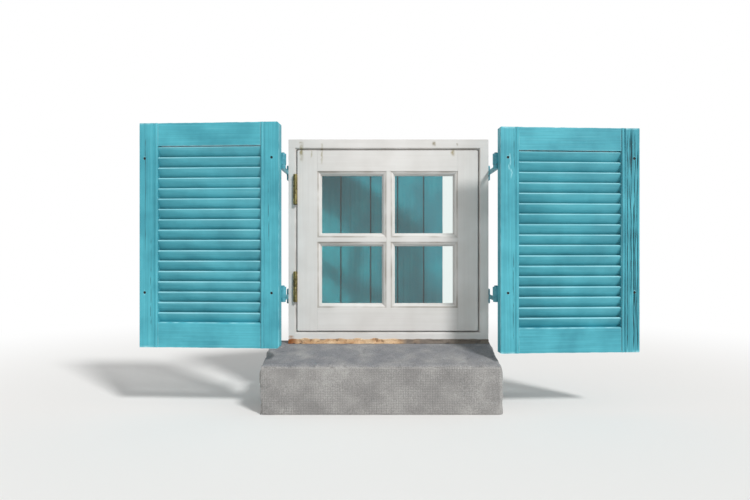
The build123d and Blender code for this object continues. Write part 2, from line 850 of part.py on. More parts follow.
# Pintles: a pin in a boss, with a tang back along the reveal to a foot on the jamb's outer side
pintle_screw_seats = []
for side_name, side in (("left", -1), ("right", 1)):
    for place in ("upper", "lower"):
        middle = boss_top[place] - boss_height / 2
        with BuildPart() as pintle:
            with BuildSketch(Plane.YZ.offset(side * frame_width / 2)):
                with Locations(((pin_y + foot_back) / 2, middle)):
                    Rectangle(foot_back - pin_y - 2 * foot_round, boss_height)
                with Locations(((pin_y + foot_front + foot_round) / 2, middle)):
                    Rectangle(foot_front + foot_round - pin_y, boss_height)
                with Locations(((foot_front + foot_back) / 2, middle)):
                    RectangleRounded(foot_back - foot_front, foot_height, foot_round)
            extrude(amount=side * tang_thickness)
            with Locations((side * pin_x, pin_y, boss_top[place])):
                Cylinder(boss_radius, boss_height, align=downward)
                Cylinder(pin_radius, eye_rub_gap + strap_height + pin_stand, align=upward)
            fillet(pintle.edges().group_by(Axis.Z)[-1], pin_end_round)
            for seat in foot_screws(place, side):
                screw_hole(seat, pintle_screw_shank, pintle_screw_head, tang_thickness)
                pintle_screw_seats.append(seat)
        write(pintle, f"pintle_{side_name}_{place}")

# Inner pintles: a plate on the room side of the left jamb with a lug, a boss and a pin
inner_eye_radius = inner_pin_radius + eye_play + inner_eye_wall
with BuildPart() as inner_pintles:
    for place in ("upper", "lower"):
        top = inner_boss_top(place)
        middle = top - inner_boss_height / 2
        plate_levels = (middle - inner_plate_height / 2, middle + inner_plate_height / 2)
        plate_back = frame_depth + inner_plate_thickness
        block(inner_plate_x, (frame_depth, plate_back), plate_levels)
        lug_x = (inner_pin_x - inner_lug_width / 2, inner_pin_x + inner_lug_width / 2)
        block(lug_x, (plate_back, inner_pin_y), (top - inner_boss_height, top))
        with Locations((inner_pin_x, inner_pin_y, top)):
            Cylinder(inner_eye_radius - inner_boss_inset, inner_boss_height, align=downward)
            Cylinder(inner_pin_radius, eye_rub_gap + inner_strap_height + inner_pin_stand, align=upward)
        for seat in inner_plate_screws(place):
            screw_hole(seat, pintle_screw_shank, pintle_screw_head, inner_plate_thickness)
            pintle_screw_seats.append(seat)
write(inner_pintles, "inner_pintles")

with BuildPart() as pintle_screws:
    for seat in pintle_screw_seats:
        wood_screw(seat, pintle_screw_shank, pintle_screw_head, pintle_screw_length)
write(pintle_screws, "pintle_screws")

# A shutter leaf is laid out from its pin: u away from the pin along the leaf, v from the
# wall side towards the street side as it stands open, and height. It stands open with its
# free edge nearer the wall by a small tilt. The right leaf is the left one's mirror image.
tilt = radians(leaf_tilt)
along = Vector(-cos(tilt), sin(tilt), 0)
towards_street = Vector(-sin(tilt), -cos(tilt), 0)
pin_foot = Vector(-pin_x, pin_y, 0)
eye_radius = pin_radius + eye_play + strap_thickness
leaf_back = eye_radius
leaf_front = leaf_back + leaf_thickness
leaf_start = leaf_edge_gap
leaf_end = leaf_start + leaf_width
field_start = leaf_start + leaf_stile_width
field_end = leaf_end - leaf_stile_width
leaf_middle = (leaf_back + leaf_front) / 2


def plan_plane(level):
    """Level plane with u and v as its axes."""
    return Plane(origin=pin_foot + Vector(0, 0, level), x_dir=along, z_dir=(0, 0, 1))


def cross_plane(u):
    """Upright plane across the leaf, with v and height as its axes."""
    return Plane(origin=pin_foot + along * u, x_dir=towards_street, z_dir=along)


def face_plane(v):
    """Upright plane along the leaf, with u and height as its axes, facing the wall."""
    return Plane(origin=pin_foot + towards_street * v, x_dir=along, z_dir=-towards_street)


def handed(piece, side):
    """The piece itself for the left leaf, its mirror image for the right one."""
    if side == "left":
        return piece
    with BuildPart() as image:
        mirror(piece.part, about=Plane.YZ)
    return image


def stile_section(plain, inner):
    """Plan section of a shutter stile with a quirked bead beside the louvres."""
    toward = 1 if inner > plain else -1
    bead_start = inner - toward * leaf_bead_width
    quirk_start = bead_start - toward * leaf_quirk_width
    bead_foot = leaf_front - leaf_quirk_depth
    Polyline(
        (inner, bead_foot),
        (inner, leaf_back),
        (plain, leaf_back),
        (plain, leaf_front),
        (quirk_start, leaf_front),
        (quirk_start, bead_foot),
        (bead_start, bead_foot),
    )
    ThreePointArc(
        (bead_start, bead_foot),
        (inner - toward * leaf_bead_width / 2, leaf_front),
        (inner, bead_foot),
    )


def slat_profiles(field_low, field_high, play):
    """Sloping louvre sections one above the other, trimmed level at the rails."""
    rise = slat_chord / 2 * sin(radians(slat_angle)) + slat_thickness / 2 * cos(radians(slat_angle))
    pitch = (field_high - field_low) / slat_count
    for k in range(slat_count):
        level = field_high - slat_top_gap - rise - k * pitch
        with Locations((leaf_middle, level)):
            Rectangle(slat_chord + 2 * play, slat_thickness + 2 * play, rotation=slat_angle)
    with Locations((leaf_middle, (field_low + field_high) / 2)):
        Rectangle(leaf_thickness, field_high - field_low, mode=Mode.INTERSECT)


for side, leaf_bottom, corner_round in (
    ("left", leaf_left_bottom, leaf_left_corner_round),
    ("right", leaf_right_bottom, leaf_right_corner_round),
):
    leaf_top = leaf_bottom + leaf_height
    field_low = leaf_bottom + leaf_bottom_rail_width
    field_high = leaf_top - leaf_top_rail_width
    strap_levels = {"upper": strap_upper_z, "lower": strap_lower_z}
    bolt_places = [
        (u, level)
        for level in strap_levels.values()
        for u in (leaf_start + bolt_inset_hinge_stile, leaf_end - bolt_inset_free_stile)
    ]
    tenon_levels = {
        "top": (field_high + leaf_haunch, leaf_top - leaf_haunch),
        "bottom": (leaf_bottom + leaf_haunch, field_low - leaf_haunch),
    }

    # Stiles with housings for the louvres and mortises for the rails
    for stile_name, plain, inner in (
        ("hinge_stile", leaf_start, field_start),
        ("free_stile", leaf_end, field_end),
    ):
        toward = 1 if inner > plain else -1
        with BuildPart() as stile:
            with BuildSketch(plan_plane(leaf_bottom)) as section:
                with BuildLine():
                    stile_section(plain, inner)
                make_face()
                plain_corners = section.vertices().sort_by_distance((plain, leaf_middle))[0:2]
                fillet(plain_corners, leaf_arris)
            extrude(amount=leaf_height)
            with BuildSketch(cross_plane(inner)):
                slat_profiles(field_low, field_high, slat_play)
            extrude(amount=-toward * slat_housing, mode=Mode.SUBTRACT)
            for levels in tenon_levels.values():
                with BuildSketch(cross_plane(inner)):
                    with Locations((leaf_middle, (levels[0] + levels[1]) / 2)):
                        Rectangle(leaf_tenon_thickness, levels[1] - levels[0])
                extrude(amount=-toward * leaf_tenon_length, mode=Mode.SUBTRACT)
            for u, level in bolt_places:
                if min(plain, inner) < u < max(plain, inner):
                    with Locations(face_plane(leaf_back).location * Location((u, level, 0))):
                        Hole(bolt_shank_radius + bolt_play, leaf_thickness)
            if plain == leaf_start:
                with BuildSketch(face_plane(leaf_back)) as rounded:
                    with Locations((plain + leaf_stile_width / 2, leaf_bottom + leaf_height / 2)):
                        Rectangle(leaf_stile_width, leaf_height)
                    fillet(rounded.vertices().group_by(Axis.X)[0], corner_round)
                extrude(amount=-leaf_thickness, mode=Mode.INTERSECT)
        write(handed(stile, side), f"{side}_{stile_name}")

    # Rails between the stiles, set back a little from their faces
    for rail_name, low, high in (
        ("top", field_high, leaf_top),
        ("bottom", leaf_bottom, field_low),
    ):
        levels = tenon_levels[rail_name]
        with BuildPart() as rail:
            with BuildSketch(cross_plane(field_start)) as rail_section:
                with Locations((leaf_middle, (low + high) / 2)):
                    Rectangle(leaf_thickness - 2 * leaf_rail_setback, high - low)
                if rail_name == "bottom":
                    street_top = rail_section.vertices().sort_by(Axis.Y)[-2:].sort_by(Axis.X)[-1]
                    fillet(street_top, leaf_rail_round)
            extrude(amount=field_end - field_start)
            with BuildSketch(cross_plane(field_start - leaf_tenon_length)):
                with Locations((leaf_middle, (levels[0] + levels[1]) / 2)):
                    Rectangle(leaf_tenon_thickness, levels[1] - levels[0])
            extrude(amount=field_end - field_start + 2 * leaf_tenon_length)
        write(handed(rail, side), f"{side}_{rail_name}_rail")

    # Louvre slats, their ends housed in the stiles
    with BuildPart() as slats:
        with BuildSketch(cross_plane(field_start - slat_housing)):
            slat_profiles(field_low, field_high, 0)
        extrude(amount=field_end - field_start + 2 * slat_housing)
    write(handed(slats, side), f"{side}_louvre_slats")

    # Strap hinges across the wall side of the leaf, rolled into an eye at the pin
    strap_end = leaf_end - strap_end_gap
    for place, level in strap_levels.items():
        with BuildPart() as strap:
            with BuildSketch(face_plane(leaf_back)):
                with BuildLine():
                    Polyline(
                        (strap_end - strap_tip_height / 2, level - strap_tip_height / 2),
                        (0, level - strap_height / 2),
                        (0, level + strap_height / 2),
                        (strap_end - strap_tip_height / 2, level + strap_tip_height / 2),
                    )
                    ThreePointArc(
                        (strap_end - strap_tip_height / 2, level + strap_tip_height / 2),
                        (strap_end, level),
                        (strap_end - strap_tip_height / 2, level - strap_tip_height / 2),
                    )
                make_face()
            extrude(amount=strap_thickness)
            with Locations(pin_foot + Vector(0, 0, level)):
                Cylinder(eye_radius, strap_height)
                Cylinder(pin_radius + eye_play, strap_height, mode=Mode.SUBTRACT)
            for u, bolt_level in bolt_places:
                if bolt_level == level:
                    with Locations(face_plane(leaf_back).location * Location((u, level, 0))):
                        Hole(bolt_shank_radius + bolt_play, 2 * strap_thickness)
        write(handed(strap, side), f"{side}_strap_{place}")

    # Bolts through strap and stile, their ends sunk below the street side
    with BuildPart() as bolts:
        for u, level in bolt_places:
            with BuildSketch(face_plane(leaf_back - strap_thickness)):
                with Locations((u, level)):
                    Circle(bolt_shank_radius)
            extrude(amount=-(strap_thickness + leaf_thickness - bolt_sunk))
            with BuildSketch(face_plane(leaf_back - strap_thickness)):
                with Locations((u, level)):
                    Circle(bolt_head_radius)
            extrude(amount=bolt_head_height, taper=bolt_head_taper)
    write(handed(bolts, side), f"{side}_strap_bolts")

# The inner shutter is laid out from its own pin in the same way and stands ajar into the room
inner_turn = radians(inner_rest_angle)
inner_along = Vector(cos(inner_turn), sin(inner_turn), 0)
into_room = Vector(-sin(inner_turn), cos(inner_turn), 0)
inner_foot = Vector(inner_pin_x, inner_pin_y, 0)
strap_room_face = inner_eye_radius
board_back = strap_room_face - inner_eye_wall
board_front = board_back - inner_board_thickness
inner_start = inner_eye_radius + inner_edge_gap


def inner_plan(level):
    """Level plane with the shutter's length and its depth into the room as axes."""
    return Plane(origin=inner_foot + Vector(0, 0, level), x_dir=inner_along, z_dir=(0, 0, 1))


def inner_face(depth):
    """Upright plane on the shutter, length and height as axes, facing the window."""
    return Plane(origin=inner_foot + into_room * depth, x_dir=inner_along, z_dir=-into_room)


# Nails: one in each board at each ledge, and three along each strap
ledge_nails = []
strap_nails = []
for place in ("upper", "lower"):
    nail_u = inner_start
    for k, width in enumerate(board_widths):
        lift = ledge_nail_spread / 2 * (1 if k % 2 else -1)
        ledge_nails.append((nail_u + width / 2, inner_ledge_levels[place] + lift))
        nail_u += width
    for k in range(3):
        strap_nails.append((strap_nail_start + k * strap_nail_pitch, inner_strap_levels[place]))


def nail_holes(nails, depth, reach):
    """Holes for nails driven from an upright plane on the room side of the shutter."""
    for u, level in nails:
        with Locations(inner_face(depth).location * Location((u, level, 0))):
            Hole(nail_radius + nail_play, reach)


# Matched boards with a vee at each joint on the window side
board_start = inner_start
tongue_middle = (board_back + board_front) / 2
for k, width in enumerate(board_widths):
    board_end = board_start + width
    with BuildPart() as board:
        with BuildSketch(inner_plan(inner_bottom)) as plan:
            with Locations(((board_start + board_end) / 2, tongue_middle)):
                Rectangle(width, inner_board_thickness)
            chamfer(plan.vertices().group_by(Axis.Y)[0], board_vee)
            if k > 0:
                with Locations((board_start + tongue_length / 2, tongue_middle)):
                    Rectangle(tongue_length, tongue_thickness, mode=Mode.SUBTRACT)
            if k < len(board_widths) - 1:
                with Locations((board_end + tongue_length / 2, tongue_middle)):
                    Rectangle(tongue_length, tongue_thickness)
        extrude(amount=inner_height)
        in_board = [nail for nail in ledge_nails + strap_nails if board_start < nail[0] < board_end]
        nail_holes(in_board, board_back, nail_bite)
    write(board, f"inner_board_{k + 1}")
    board_start = board_end
inner_end = board_start

# Ledges across the room side of the boards
ledge_back = board_back + ledge_thickness
ledge_length = inner_end - inner_start - 2 * ledge_end_inset
for place, middle in inner_ledge_levels.items():
    with BuildPart() as ledge:
        with BuildSketch(inner_face(board_back)):
            with Locations(((inner_start + inner_end) / 2, middle)):
                Rectangle(ledge_length, ledge_height)
        extrude(amount=-ledge_thickness)
        room_face = ledge.faces().sort_by(Axis(origin=(0, 0, 0), direction=into_room))[-1]
        chamfer(room_face.edges(), ledge_arris)
        nail_holes([nail for nail in ledge_nails if abs(nail[1] - middle) < ledge_height / 2],
                   ledge_back, ledge_thickness)
    write(ledge, f"inner_ledge_{place}")

# Short straps on the boards' room side
with BuildPart() as inner_straps:
    for level in inner_strap_levels.values():
        with BuildSketch(inner_face(strap_room_face)):
            with Locations((inner_strap_length / 2, level)):
                Rectangle(inner_strap_length, inner_strap_height)
        extrude(amount=inner_eye_wall)
        with Locations(inner_foot + Vector(0, 0, level)):
            Cylinder(inner_eye_radius, inner_strap_height)
            Cylinder(inner_pin_radius + eye_play, inner_strap_height, mode=Mode.SUBTRACT)
    nail_holes(strap_nails, strap_room_face, inner_eye_wall)
write(inner_straps, "inner_straps")

with BuildPart() as inner_nails:
    for nails, depth, thickness in (
        (ledge_nails, ledge_back, ledge_thickness),
        (strap_nails, strap_room_face, inner_eye_wall),
    ):
        for u, level in nails:
            with BuildSketch(inner_face(depth)):
                with Locations((u, level)):
                    Circle(nail_radius)
            extrude(amount=thickness + nail_bite)
            with BuildSketch(inner_face(depth)):
                with Locations((u, level)):
                    Circle(nail_head_radius)
            extrude(amount=-nail_head_height)
write(inner_nails, "inner_nails")
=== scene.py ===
import json
from math import cos, exp, pi, radians, sin

import bmesh
import bpy
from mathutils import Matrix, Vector, noise

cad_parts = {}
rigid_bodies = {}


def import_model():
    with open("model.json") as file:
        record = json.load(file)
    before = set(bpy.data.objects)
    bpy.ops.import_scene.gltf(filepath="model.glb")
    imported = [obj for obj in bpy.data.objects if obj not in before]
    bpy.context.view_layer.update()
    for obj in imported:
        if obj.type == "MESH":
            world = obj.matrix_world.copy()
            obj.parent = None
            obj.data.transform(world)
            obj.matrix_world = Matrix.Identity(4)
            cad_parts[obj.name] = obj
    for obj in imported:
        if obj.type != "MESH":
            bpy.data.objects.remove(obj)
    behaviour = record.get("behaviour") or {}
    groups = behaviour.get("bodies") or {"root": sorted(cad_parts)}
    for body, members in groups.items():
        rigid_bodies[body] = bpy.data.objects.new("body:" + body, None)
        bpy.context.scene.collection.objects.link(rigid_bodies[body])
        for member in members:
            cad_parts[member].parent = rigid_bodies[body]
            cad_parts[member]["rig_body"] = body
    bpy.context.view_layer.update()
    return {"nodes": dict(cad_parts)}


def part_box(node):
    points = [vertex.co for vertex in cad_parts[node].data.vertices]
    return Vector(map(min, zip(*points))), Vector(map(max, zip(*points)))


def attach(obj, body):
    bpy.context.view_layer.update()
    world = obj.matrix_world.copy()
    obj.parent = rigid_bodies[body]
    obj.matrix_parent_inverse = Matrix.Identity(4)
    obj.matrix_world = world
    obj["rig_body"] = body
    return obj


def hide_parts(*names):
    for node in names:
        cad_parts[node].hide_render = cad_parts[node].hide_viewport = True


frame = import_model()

nodes = frame["nodes"]

# Stone sill. One hewn block of grey sandstone under the frame. Its front is picked over with a bush
# hammer, its top is rubbed smoother, and all its street edges are worn round. The left end has lost
# its corner to feet and water.
SILL_FRONT_SLICE = 0.0018
SILL_TOP_SLICE = 0.004
SILL_END_SLICE = 0.005
# the real hammer marks are about 5.3 mm apart, and are drawn coarser so that they show
SILL_ROW = 0.0066
SILL_ROW_DRIFT = 0.0012
SILL_PIT = 0.0007
SILL_WAVE = 0.0013
SILL_CHIP = 0.0035
# how deep the left and the right end are rough
SILL_END_ROUGH = (0.008, 0.003)
SILL_END_WEAR = 0.009
SILL_END_REACH = 0.03
# between these places in front of the frame the wear of the ends sets in
SILL_END_START = (-0.06, -0.15)
SILL_SLOPE = 0.173
SILL_SLOPE_START = 0.01
SILL_UNDERSIDE = 0.002
# how squarely a face looks one way before it counts as a front, a top or an end, and before it is
# sliced as one
SQUARE_ON = (0.3, 0.8)
SLICED_FROM = 0.6
# points nearer than this are one point, and points nearer to a plane than the next lie on it
ONE_POINT = 1e-6
ON_PLANE = 1e-5
# edges sharper than this are rounded, and edges sharper than the next still show as edges
SHARP_EDGE = radians(35)
SHOWN_EDGE = radians(38)
RIGHT, INWARD, UP = Vector((1, 0, 0)), Vector((0, 1, 0)), Vector((0, 0, 1))


def clamp(value):
    return max(0.0, min(1.0, value))


def ease(low, high, value):
    """Smooth step from 0 at low to 1 at high."""
    share = clamp((value - low) / (high - low))
    return share * share * (3 - 2 * share)


def patchy(point, per_metre, shift=(0, 0, 0)):
    """Smooth noise from -1 to 1 with so many patches in a metre. A shift takes another stretch of it."""
    return noise.noise(point * per_metre + Vector(shift))


def slice_faces(mesh, direction, step, facing=None):
    """Slices a mesh by planes a step apart, and only the faces that look the facing way, if given."""
    faces = [face for face in mesh.faces if facing is None or face.normal.dot(facing) > SLICED_FROM]
    geometry = list({part for face in faces for part in (*face.verts, *face.edges, face)})
    reach = [vertex.co.dot(direction) for face in faces for vertex in face.verts]
    low, high = min(reach), max(reach)
    count = max(2, round((high - low) / step))
    for k in range(1, count):
        place = low + (high - low) * k / count
        geometry = bmesh.ops.bisect_plane(
            mesh, geom=geometry, dist=ON_PLANE, plane_co=direction * place, plane_no=direction,
        )["geom"]


def fine_copy(node_name, cuts, wear, arris=0.0):
    """A copy of a CAD node's mesh, sliced by planes a step apart and then worn.

    A cut is a direction, a step and, where only some faces are sliced, the way they face.
    wear takes a point and its outward normal and gives how far the point moves, and the
    values of the attributes that the material reads there. arris is how wide the sharp
    edges are rounded first.
    """
    mesh = bmesh.new()
    mesh.from_mesh(nodes[node_name].data)
    bmesh.ops.remove_doubles(mesh, verts=mesh.verts, dist=ONE_POINT)
    if arris:
        sharp = [edge for edge in mesh.edges if edge.calc_face_angle(0) > SHARP_EDGE]
        bmesh.ops.bevel(mesh, geom=sharp, offset=arris, segments=2, profile=0.5, affect="EDGES")
    for cut in cuts:
        slice_faces(mesh, *cut)
    mesh.normal_update()
    shaped = [wear(vertex.co, vertex.normal) for vertex in mesh.verts]
    for vertex, (move, _) in zip(mesh.verts, shaped):
        vertex.co += move
    copy = bpy.data.meshes.new(node_name + "_surface")
    mesh.to_mesh(copy)
    mesh.free()
    # the stored normals belong to the unsliced faces
    copy.attributes.remove(copy.attributes["custom_normal"])
    for name in shaped[0][1]:
        layer = copy.attributes.new(name, "FLOAT", "POINT")
        layer.data.foreach_set("value", [values[name] for _, values in shaped])
    copy.polygons.foreach_set("use_smooth", [True] * len(copy.polygons))
    copy.set_sharp_from_angle(angle=SHOWN_EDGE)
    piece = bpy.data.objects.new(node_name + "_piece", copy)
    bpy.context.scene.collection.objects.link(piece)
    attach(piece, nodes[node_name]["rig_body"])
    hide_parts(node_name)
    return piece


sill_low, sill_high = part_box("stone_sill")


def hewn(point, normal):
    """Hammer marks on the front, waves on front and top, chipped arrises and worn, rough ends."""
    front = ease(*SQUARE_ON, -normal.y)
    top = ease(*SQUARE_ON, normal.z)
    end = ease(*SQUARE_ON, abs(normal.x))
    drift = SILL_ROW_DRIFT * patchy(point, 40)
    blow = 0.5 - 0.25 * cos(2 * pi * (point.x + drift) / SILL_ROW)
    blow -= 0.25 * cos(2 * pi * (point.z + drift) / SILL_ROW)
    rubbed = 0.45 + 0.55 * ease(-0.25, 0.2, patchy(point, 13))
    pit = front * clamp(blow + 0.3 * patchy(point, 150)) * rubbed
    wave = clamp(0.5 + patchy(point, 17))
    arris = 4 * abs(normal.y * normal.z) + 4 * abs(normal.x * normal.y) + 3 * abs(normal.x * normal.z)
    arris = clamp(arris)
    chip = arris * ease(0.05, 0.5, patchy(point, 45, (7, 0, 0)))
    rough = clamp(0.5 + 1.1 * patchy(point, 17, (0, 0, 2)) + 0.3 * patchy(point, 80))
    depth = SILL_PIT * pit + SILL_WAVE * wave * (front + 0.5 * top) + SILL_CHIP * chip
    depth += SILL_END_ROUGH[point.x > 0] * rough * end
    inward = 1 if point.x < 0 else -1
    inset = min(point.x - sill_low.x, sill_high.x - point.x)
    below = sill_high.z - max(0.0, -point.y - SILL_SLOPE_START) * SILL_SLOPE - point.z
    uneven = 0.6 + 0.8 * noise.noise(Vector((inward, point.y * 30, 0)))
    uneven *= ease(*SILL_END_START, point.y)
    drop = SILL_END_WEAR * uneven * clamp(1 - inset / SILL_END_REACH) ** 2 * top
    push = SILL_END_WEAR * uneven * clamp(1 - below / SILL_END_REACH) ** 2 * end
    move = -normal * depth + Vector((inward * max(0.0, push), 0, -max(0.0, drop)))
    # the underside lies flat in its bed, so wear doesn't lift it
    if point.z < SILL_UNDERSIDE:
        move.z = 0
    return move, {"pit": pit, "arris": arris, "top": top}


sill_cuts = [(UP, SILL_FRONT_SLICE, -INWARD), (RIGHT, SILL_FRONT_SLICE, -INWARD),
             (INWARD, SILL_TOP_SLICE, UP), (RIGHT, SILL_TOP_SLICE, UP)]
for end_face in (-RIGHT, RIGHT):
    sill_cuts += [(UP, SILL_END_SLICE, end_face), (INWARD, SILL_END_SLICE, end_face)]
sill = fine_copy("stone_sill", sill_cuts, hewn)


def linear(code):
    """An sRGB hex colour as the linear values that shaders take."""
    channels = [int(code[k:k + 2], 16) / 255 for k in (1, 3, 5)]
    return [c / 12.92 if c <= 0.04045 else ((c + 0.055) / 1.055) ** 2.4 for c in channels] + [1.0]


def node(tree, kind, inputs=None, **settings):
    """Adds a node with its settings, links what comes from other nodes and sets the rest."""
    added = tree.nodes.new(kind)
    for name, value in settings.items():
        setattr(added, name, value)
    for socket, value in (inputs or {}).items():
        if isinstance(value, bpy.types.NodeSocket):
            tree.links.new(value, added.inputs[socket])
        else:
            added.inputs[socket].default_value = value
    return added


def new_material(name):
    material = bpy.data.materials.new(name)
    material.use_nodes = True
    material.node_tree.nodes.clear()
    return material, material.node_tree


def give_material(piece, material):
    piece.data.materials.clear()
    piece.data.materials.append(material)


# Bush-hammered sandstone: a dull, grainy grey, paler on worn edges. Painted shade darkens the pick
# marks, and a bluish painted shade darkens the top.
hewn_sandstone, tree = new_material("bush_hammered_sandstone")
spot = node(tree, "ShaderNodeTexCoord").outputs["Object"]
grit = node(tree, "ShaderNodeTexNoise", {"Vector": spot, "Scale": 1 / 0.0022, "Detail": 3.0})
cloud = node(tree, "ShaderNodeTexNoise", {"Vector": spot, "Scale": 1 / 0.055, "Detail": 4.0})
pit_shade = node(tree, "ShaderNodeAttribute", attribute_name="pit").outputs["Fac"]
arris = node(tree, "ShaderNodeAttribute", attribute_name="arris").outputs["Fac"]
top = node(tree, "ShaderNodeAttribute", attribute_name="top").outputs["Fac"]
tone = node(tree, "ShaderNodeMapRange", {
    "Value": cloud.outputs["Fac"], "From Min": 0.35, "From Max": 0.65})
colour = node(tree, "ShaderNodeMix", {
    0: tone.outputs["Result"], 6: linear("#8F8D8B"), 7: linear("#A8A6A3")}, data_type="RGBA")
# painted shade: the top drawn darker and bluish, in patches
top_shade = node(tree, "ShaderNodeMapRange", {
    "Value": cloud.outputs["Fac"], "From Min": 0.3, "From Max": 0.75, "To Min": 0.9, "To Max": 0.3})
top_shade = node(tree, "ShaderNodeMath", {0: top_shade.outputs["Result"], 1: top}, operation="MULTIPLY")
colour = node(tree, "ShaderNodeMix", {
    0: top_shade.outputs[0], 6: colour.outputs[2], 7: linear("#62656E")}, data_type="RGBA")
pale = node(tree, "ShaderNodeMath", {0: arris, 1: grit.outputs["Fac"]}, operation="MULTIPLY")
pale = node(tree, "ShaderNodeMath", {0: pale.outputs[0], 1: 0.5}, operation="MULTIPLY")
colour = node(tree, "ShaderNodeMix", {
    0: pale.outputs[0], 6: colour.outputs[2], 7: linear("#BBBAB7")}, data_type="RGBA")
# painted shade in the pick marks
dark = node(tree, "ShaderNodeMath", {0: pit_shade, 1: 0.55}, operation="MULTIPLY")
colour = node(tree, "ShaderNodeMix", {
    0: dark.outputs[0], 6: colour.outputs[2], 7: linear("#706F6F")}, data_type="RGBA")
speck = node(tree, "ShaderNodeMapRange", {
    "Value": grit.outputs["Fac"], "From Min": 0.3, "From Max": 0.7, "To Min": 0.72, "To Max": 1.22})
colour = node(tree, "ShaderNodeHueSaturation", {
    "Value": speck.outputs["Result"], "Color": colour.outputs[2]})
relief = node(tree, "ShaderNodeBump", {
    "Height": grit.outputs["Fac"], "Distance": 0.0006, "Strength": 0.8})
body = node(tree, "ShaderNodeBsdfPrincipled", {
    "Base Color": colour.outputs[0], "Roughness": 0.92, "IOR": 1.5, "Normal": relief.outputs[0]})
node(tree, "ShaderNodeOutputMaterial", {"Surface": body.outputs[0]})
give_material(sill, hewn_sandstone)

# Mortar bed. Lime mortar coloured with ochre sand, packed under the frame and wiped off by hand, so
# that its toe is uneven.
MORTAR_SLICES = (0.003, 0.002)
MORTAR_LUMP = 0.0036
MORTAR_HOLE = 0.002
MORTAR_SMEAR = 0.0045
MORTAR_LIP = 0.0009
# levels between which the toe and the upper lip set in
MORTAR_TOE_LEVELS = (0.170, 0.166)
MORTAR_LIP_LEVELS = (0.174, 0.178)
# places along the bed between which it turns greyer to the right and rust sets in to the left
GREYING_START = (0.02, 0.09)
GREYING_SWAY = 0.04
RUST_START = (-0.262, -0.296)


def wiped(point, normal):
    """Lumps and holes on the street face, a toe smeared over the stone and a lip on the frame."""
    street = ease(0.2, 0.7, -normal.y)
    lump = clamp(0.5 + 0.9 * patchy(point, 30) + 0.5 * patchy(point, 110))
    hole = ease(0.34, 0.46, patchy(point, 75, (0, 4, 0)))
    soiled = ease(*GREYING_START, point.x + GREYING_SWAY * patchy(point, 25))
    smear = MORTAR_SMEAR * clamp(0.35 + 1.3 * noise.noise(Vector((point.x * 38, 3, 0))))
    smear *= 1 - 0.5 * soiled
    toe = ease(*MORTAR_TOE_LEVELS, point.z)
    lip = ease(*MORTAR_LIP_LEVELS, point.z)
    move = -normal * (MORTAR_LUMP * lump * (1 - toe) * (1 - lip) + MORTAR_HOLE * hole) * street
    # only the street face has a toe and a lip
    if point.y < 0.001:
        move += Vector((0, -smear * toe - MORTAR_LIP * lip, 0.9 * smear * lip))
    return move, {"hole": hole, "rust": ease(*RUST_START, point.x), "soiled": soiled}


mortar = fine_copy("mortar_bed", list(zip((RIGHT, UP), MORTAR_SLICES)), wiped)

# Sandy lime mortar: matt, cream to warm ochre, with rust-brown patches and dark grains in it. Its
# holes are darkened as painted shade, and it turns greyer towards the right.
sand_mortar, tree = new_material("ochre_lime_mortar")
spot = node(tree, "ShaderNodeTexCoord").outputs["Object"]
sand = node(tree, "ShaderNodeTexNoise", {"Vector": spot, "Scale": 1 / 0.0014, "Detail": 4.0})
damp = node(tree, "ShaderNodeTexNoise", {"Vector": spot, "Scale": 1 / 0.05, "Detail": 4.0})
tone = node(tree, "ShaderNodeMapRange", {
    "Value": damp.outputs["Fac"], "From Min": 0.35, "From Max": 0.65})
colour = node(tree, "ShaderNodeMix", {
    0: tone.outputs["Result"], 6: linear("#BB9066"), 7: linear("#DFC3A0")}, data_type="RGBA")
rusty = node(tree, "ShaderNodeTexNoise", {"Vector": spot, "Scale": 1 / 0.013, "Detail": 4.0})
rusty = node(tree, "ShaderNodeMapRange", {
    "Value": rusty.outputs["Fac"], "From Min": 0.54, "From Max": 0.62, "To Min": 0.0, "To Max": 0.45})
corner = node(tree, "ShaderNodeAttribute", attribute_name="rust").outputs["Fac"]
rusty = node(tree, "ShaderNodeMath", {0: rusty.outputs["Result"], 1: corner}, operation="MAXIMUM")
colour = node(tree, "ShaderNodeMix", {
    0: rusty.outputs[0], 6: colour.outputs[2], 7: linear("#8A5228")}, data_type="RGBA")
# painted shade in the holes of the street face
hole_shade = node(tree, "ShaderNodeAttribute", attribute_name="hole").outputs["Fac"]
hole_shade = node(tree, "ShaderNodeMath", {0: hole_shade, 1: 0.5}, operation="MULTIPLY")
colour = node(tree, "ShaderNodeMix", {
    0: hole_shade.outputs[0], 6: colour.outputs[2], 7: linear("#54351F")}, data_type="RGBA")
# darker and greyer towards the right
greying = node(tree, "ShaderNodeAttribute", attribute_name="soiled").outputs["Fac"]
greying = node(tree, "ShaderNodeMath", {0: greying, 1: 0.92}, operation="MULTIPLY")
colour = node(tree, "ShaderNodeMix", {
    0: greying.outputs[0], 6: colour.outputs[2], 7: linear("#726C66")}, data_type="RGBA")
speck = node(tree, "ShaderNodeMapRange", {
    "Value": sand.outputs["Fac"], "From Min": 0.3, "From Max": 0.7, "To Min": 0.7, "To Max": 1.25})
colour = node(tree, "ShaderNodeHueSaturation", {
    "Value": speck.outputs["Result"], "Color": colour.outputs[2]})
relief = node(tree, "ShaderNodeBump", {
    "Height": sand.outputs["Fac"], "Distance": 0.0005, "Strength": 0.9})
body = node(tree, "ShaderNodeBsdfPrincipled", {
    "Base Color": colour.outputs[0], "Roughness": 0.95, "IOR": 1.5, "Normal": relief.outputs[0]})
node(tree, "ShaderNodeOutputMaterial", {"Surface": body.outputs[0]})
give_material(mortar, sand_mortar)

# Frame and sash. Planed pine, tenoned and mitred, brushed with white oil paint many times over. The
# paint blunts every arris, brush lines follow each member, dirt and painted shade darken the quirks,
# and rust has run down from the head at the hinge side.
WHITE_ARRIS = 0.0009
WELD_GAP = 1e-5
FLAT_ANGLE = radians(0.2)
# lengths over which the brush lines change along each axis
BRUSH_LINES_UPRIGHT = (0.007, 0.007, 0.3)
BRUSH_LINES_LEVEL = (0.3, 0.007, 0.007)
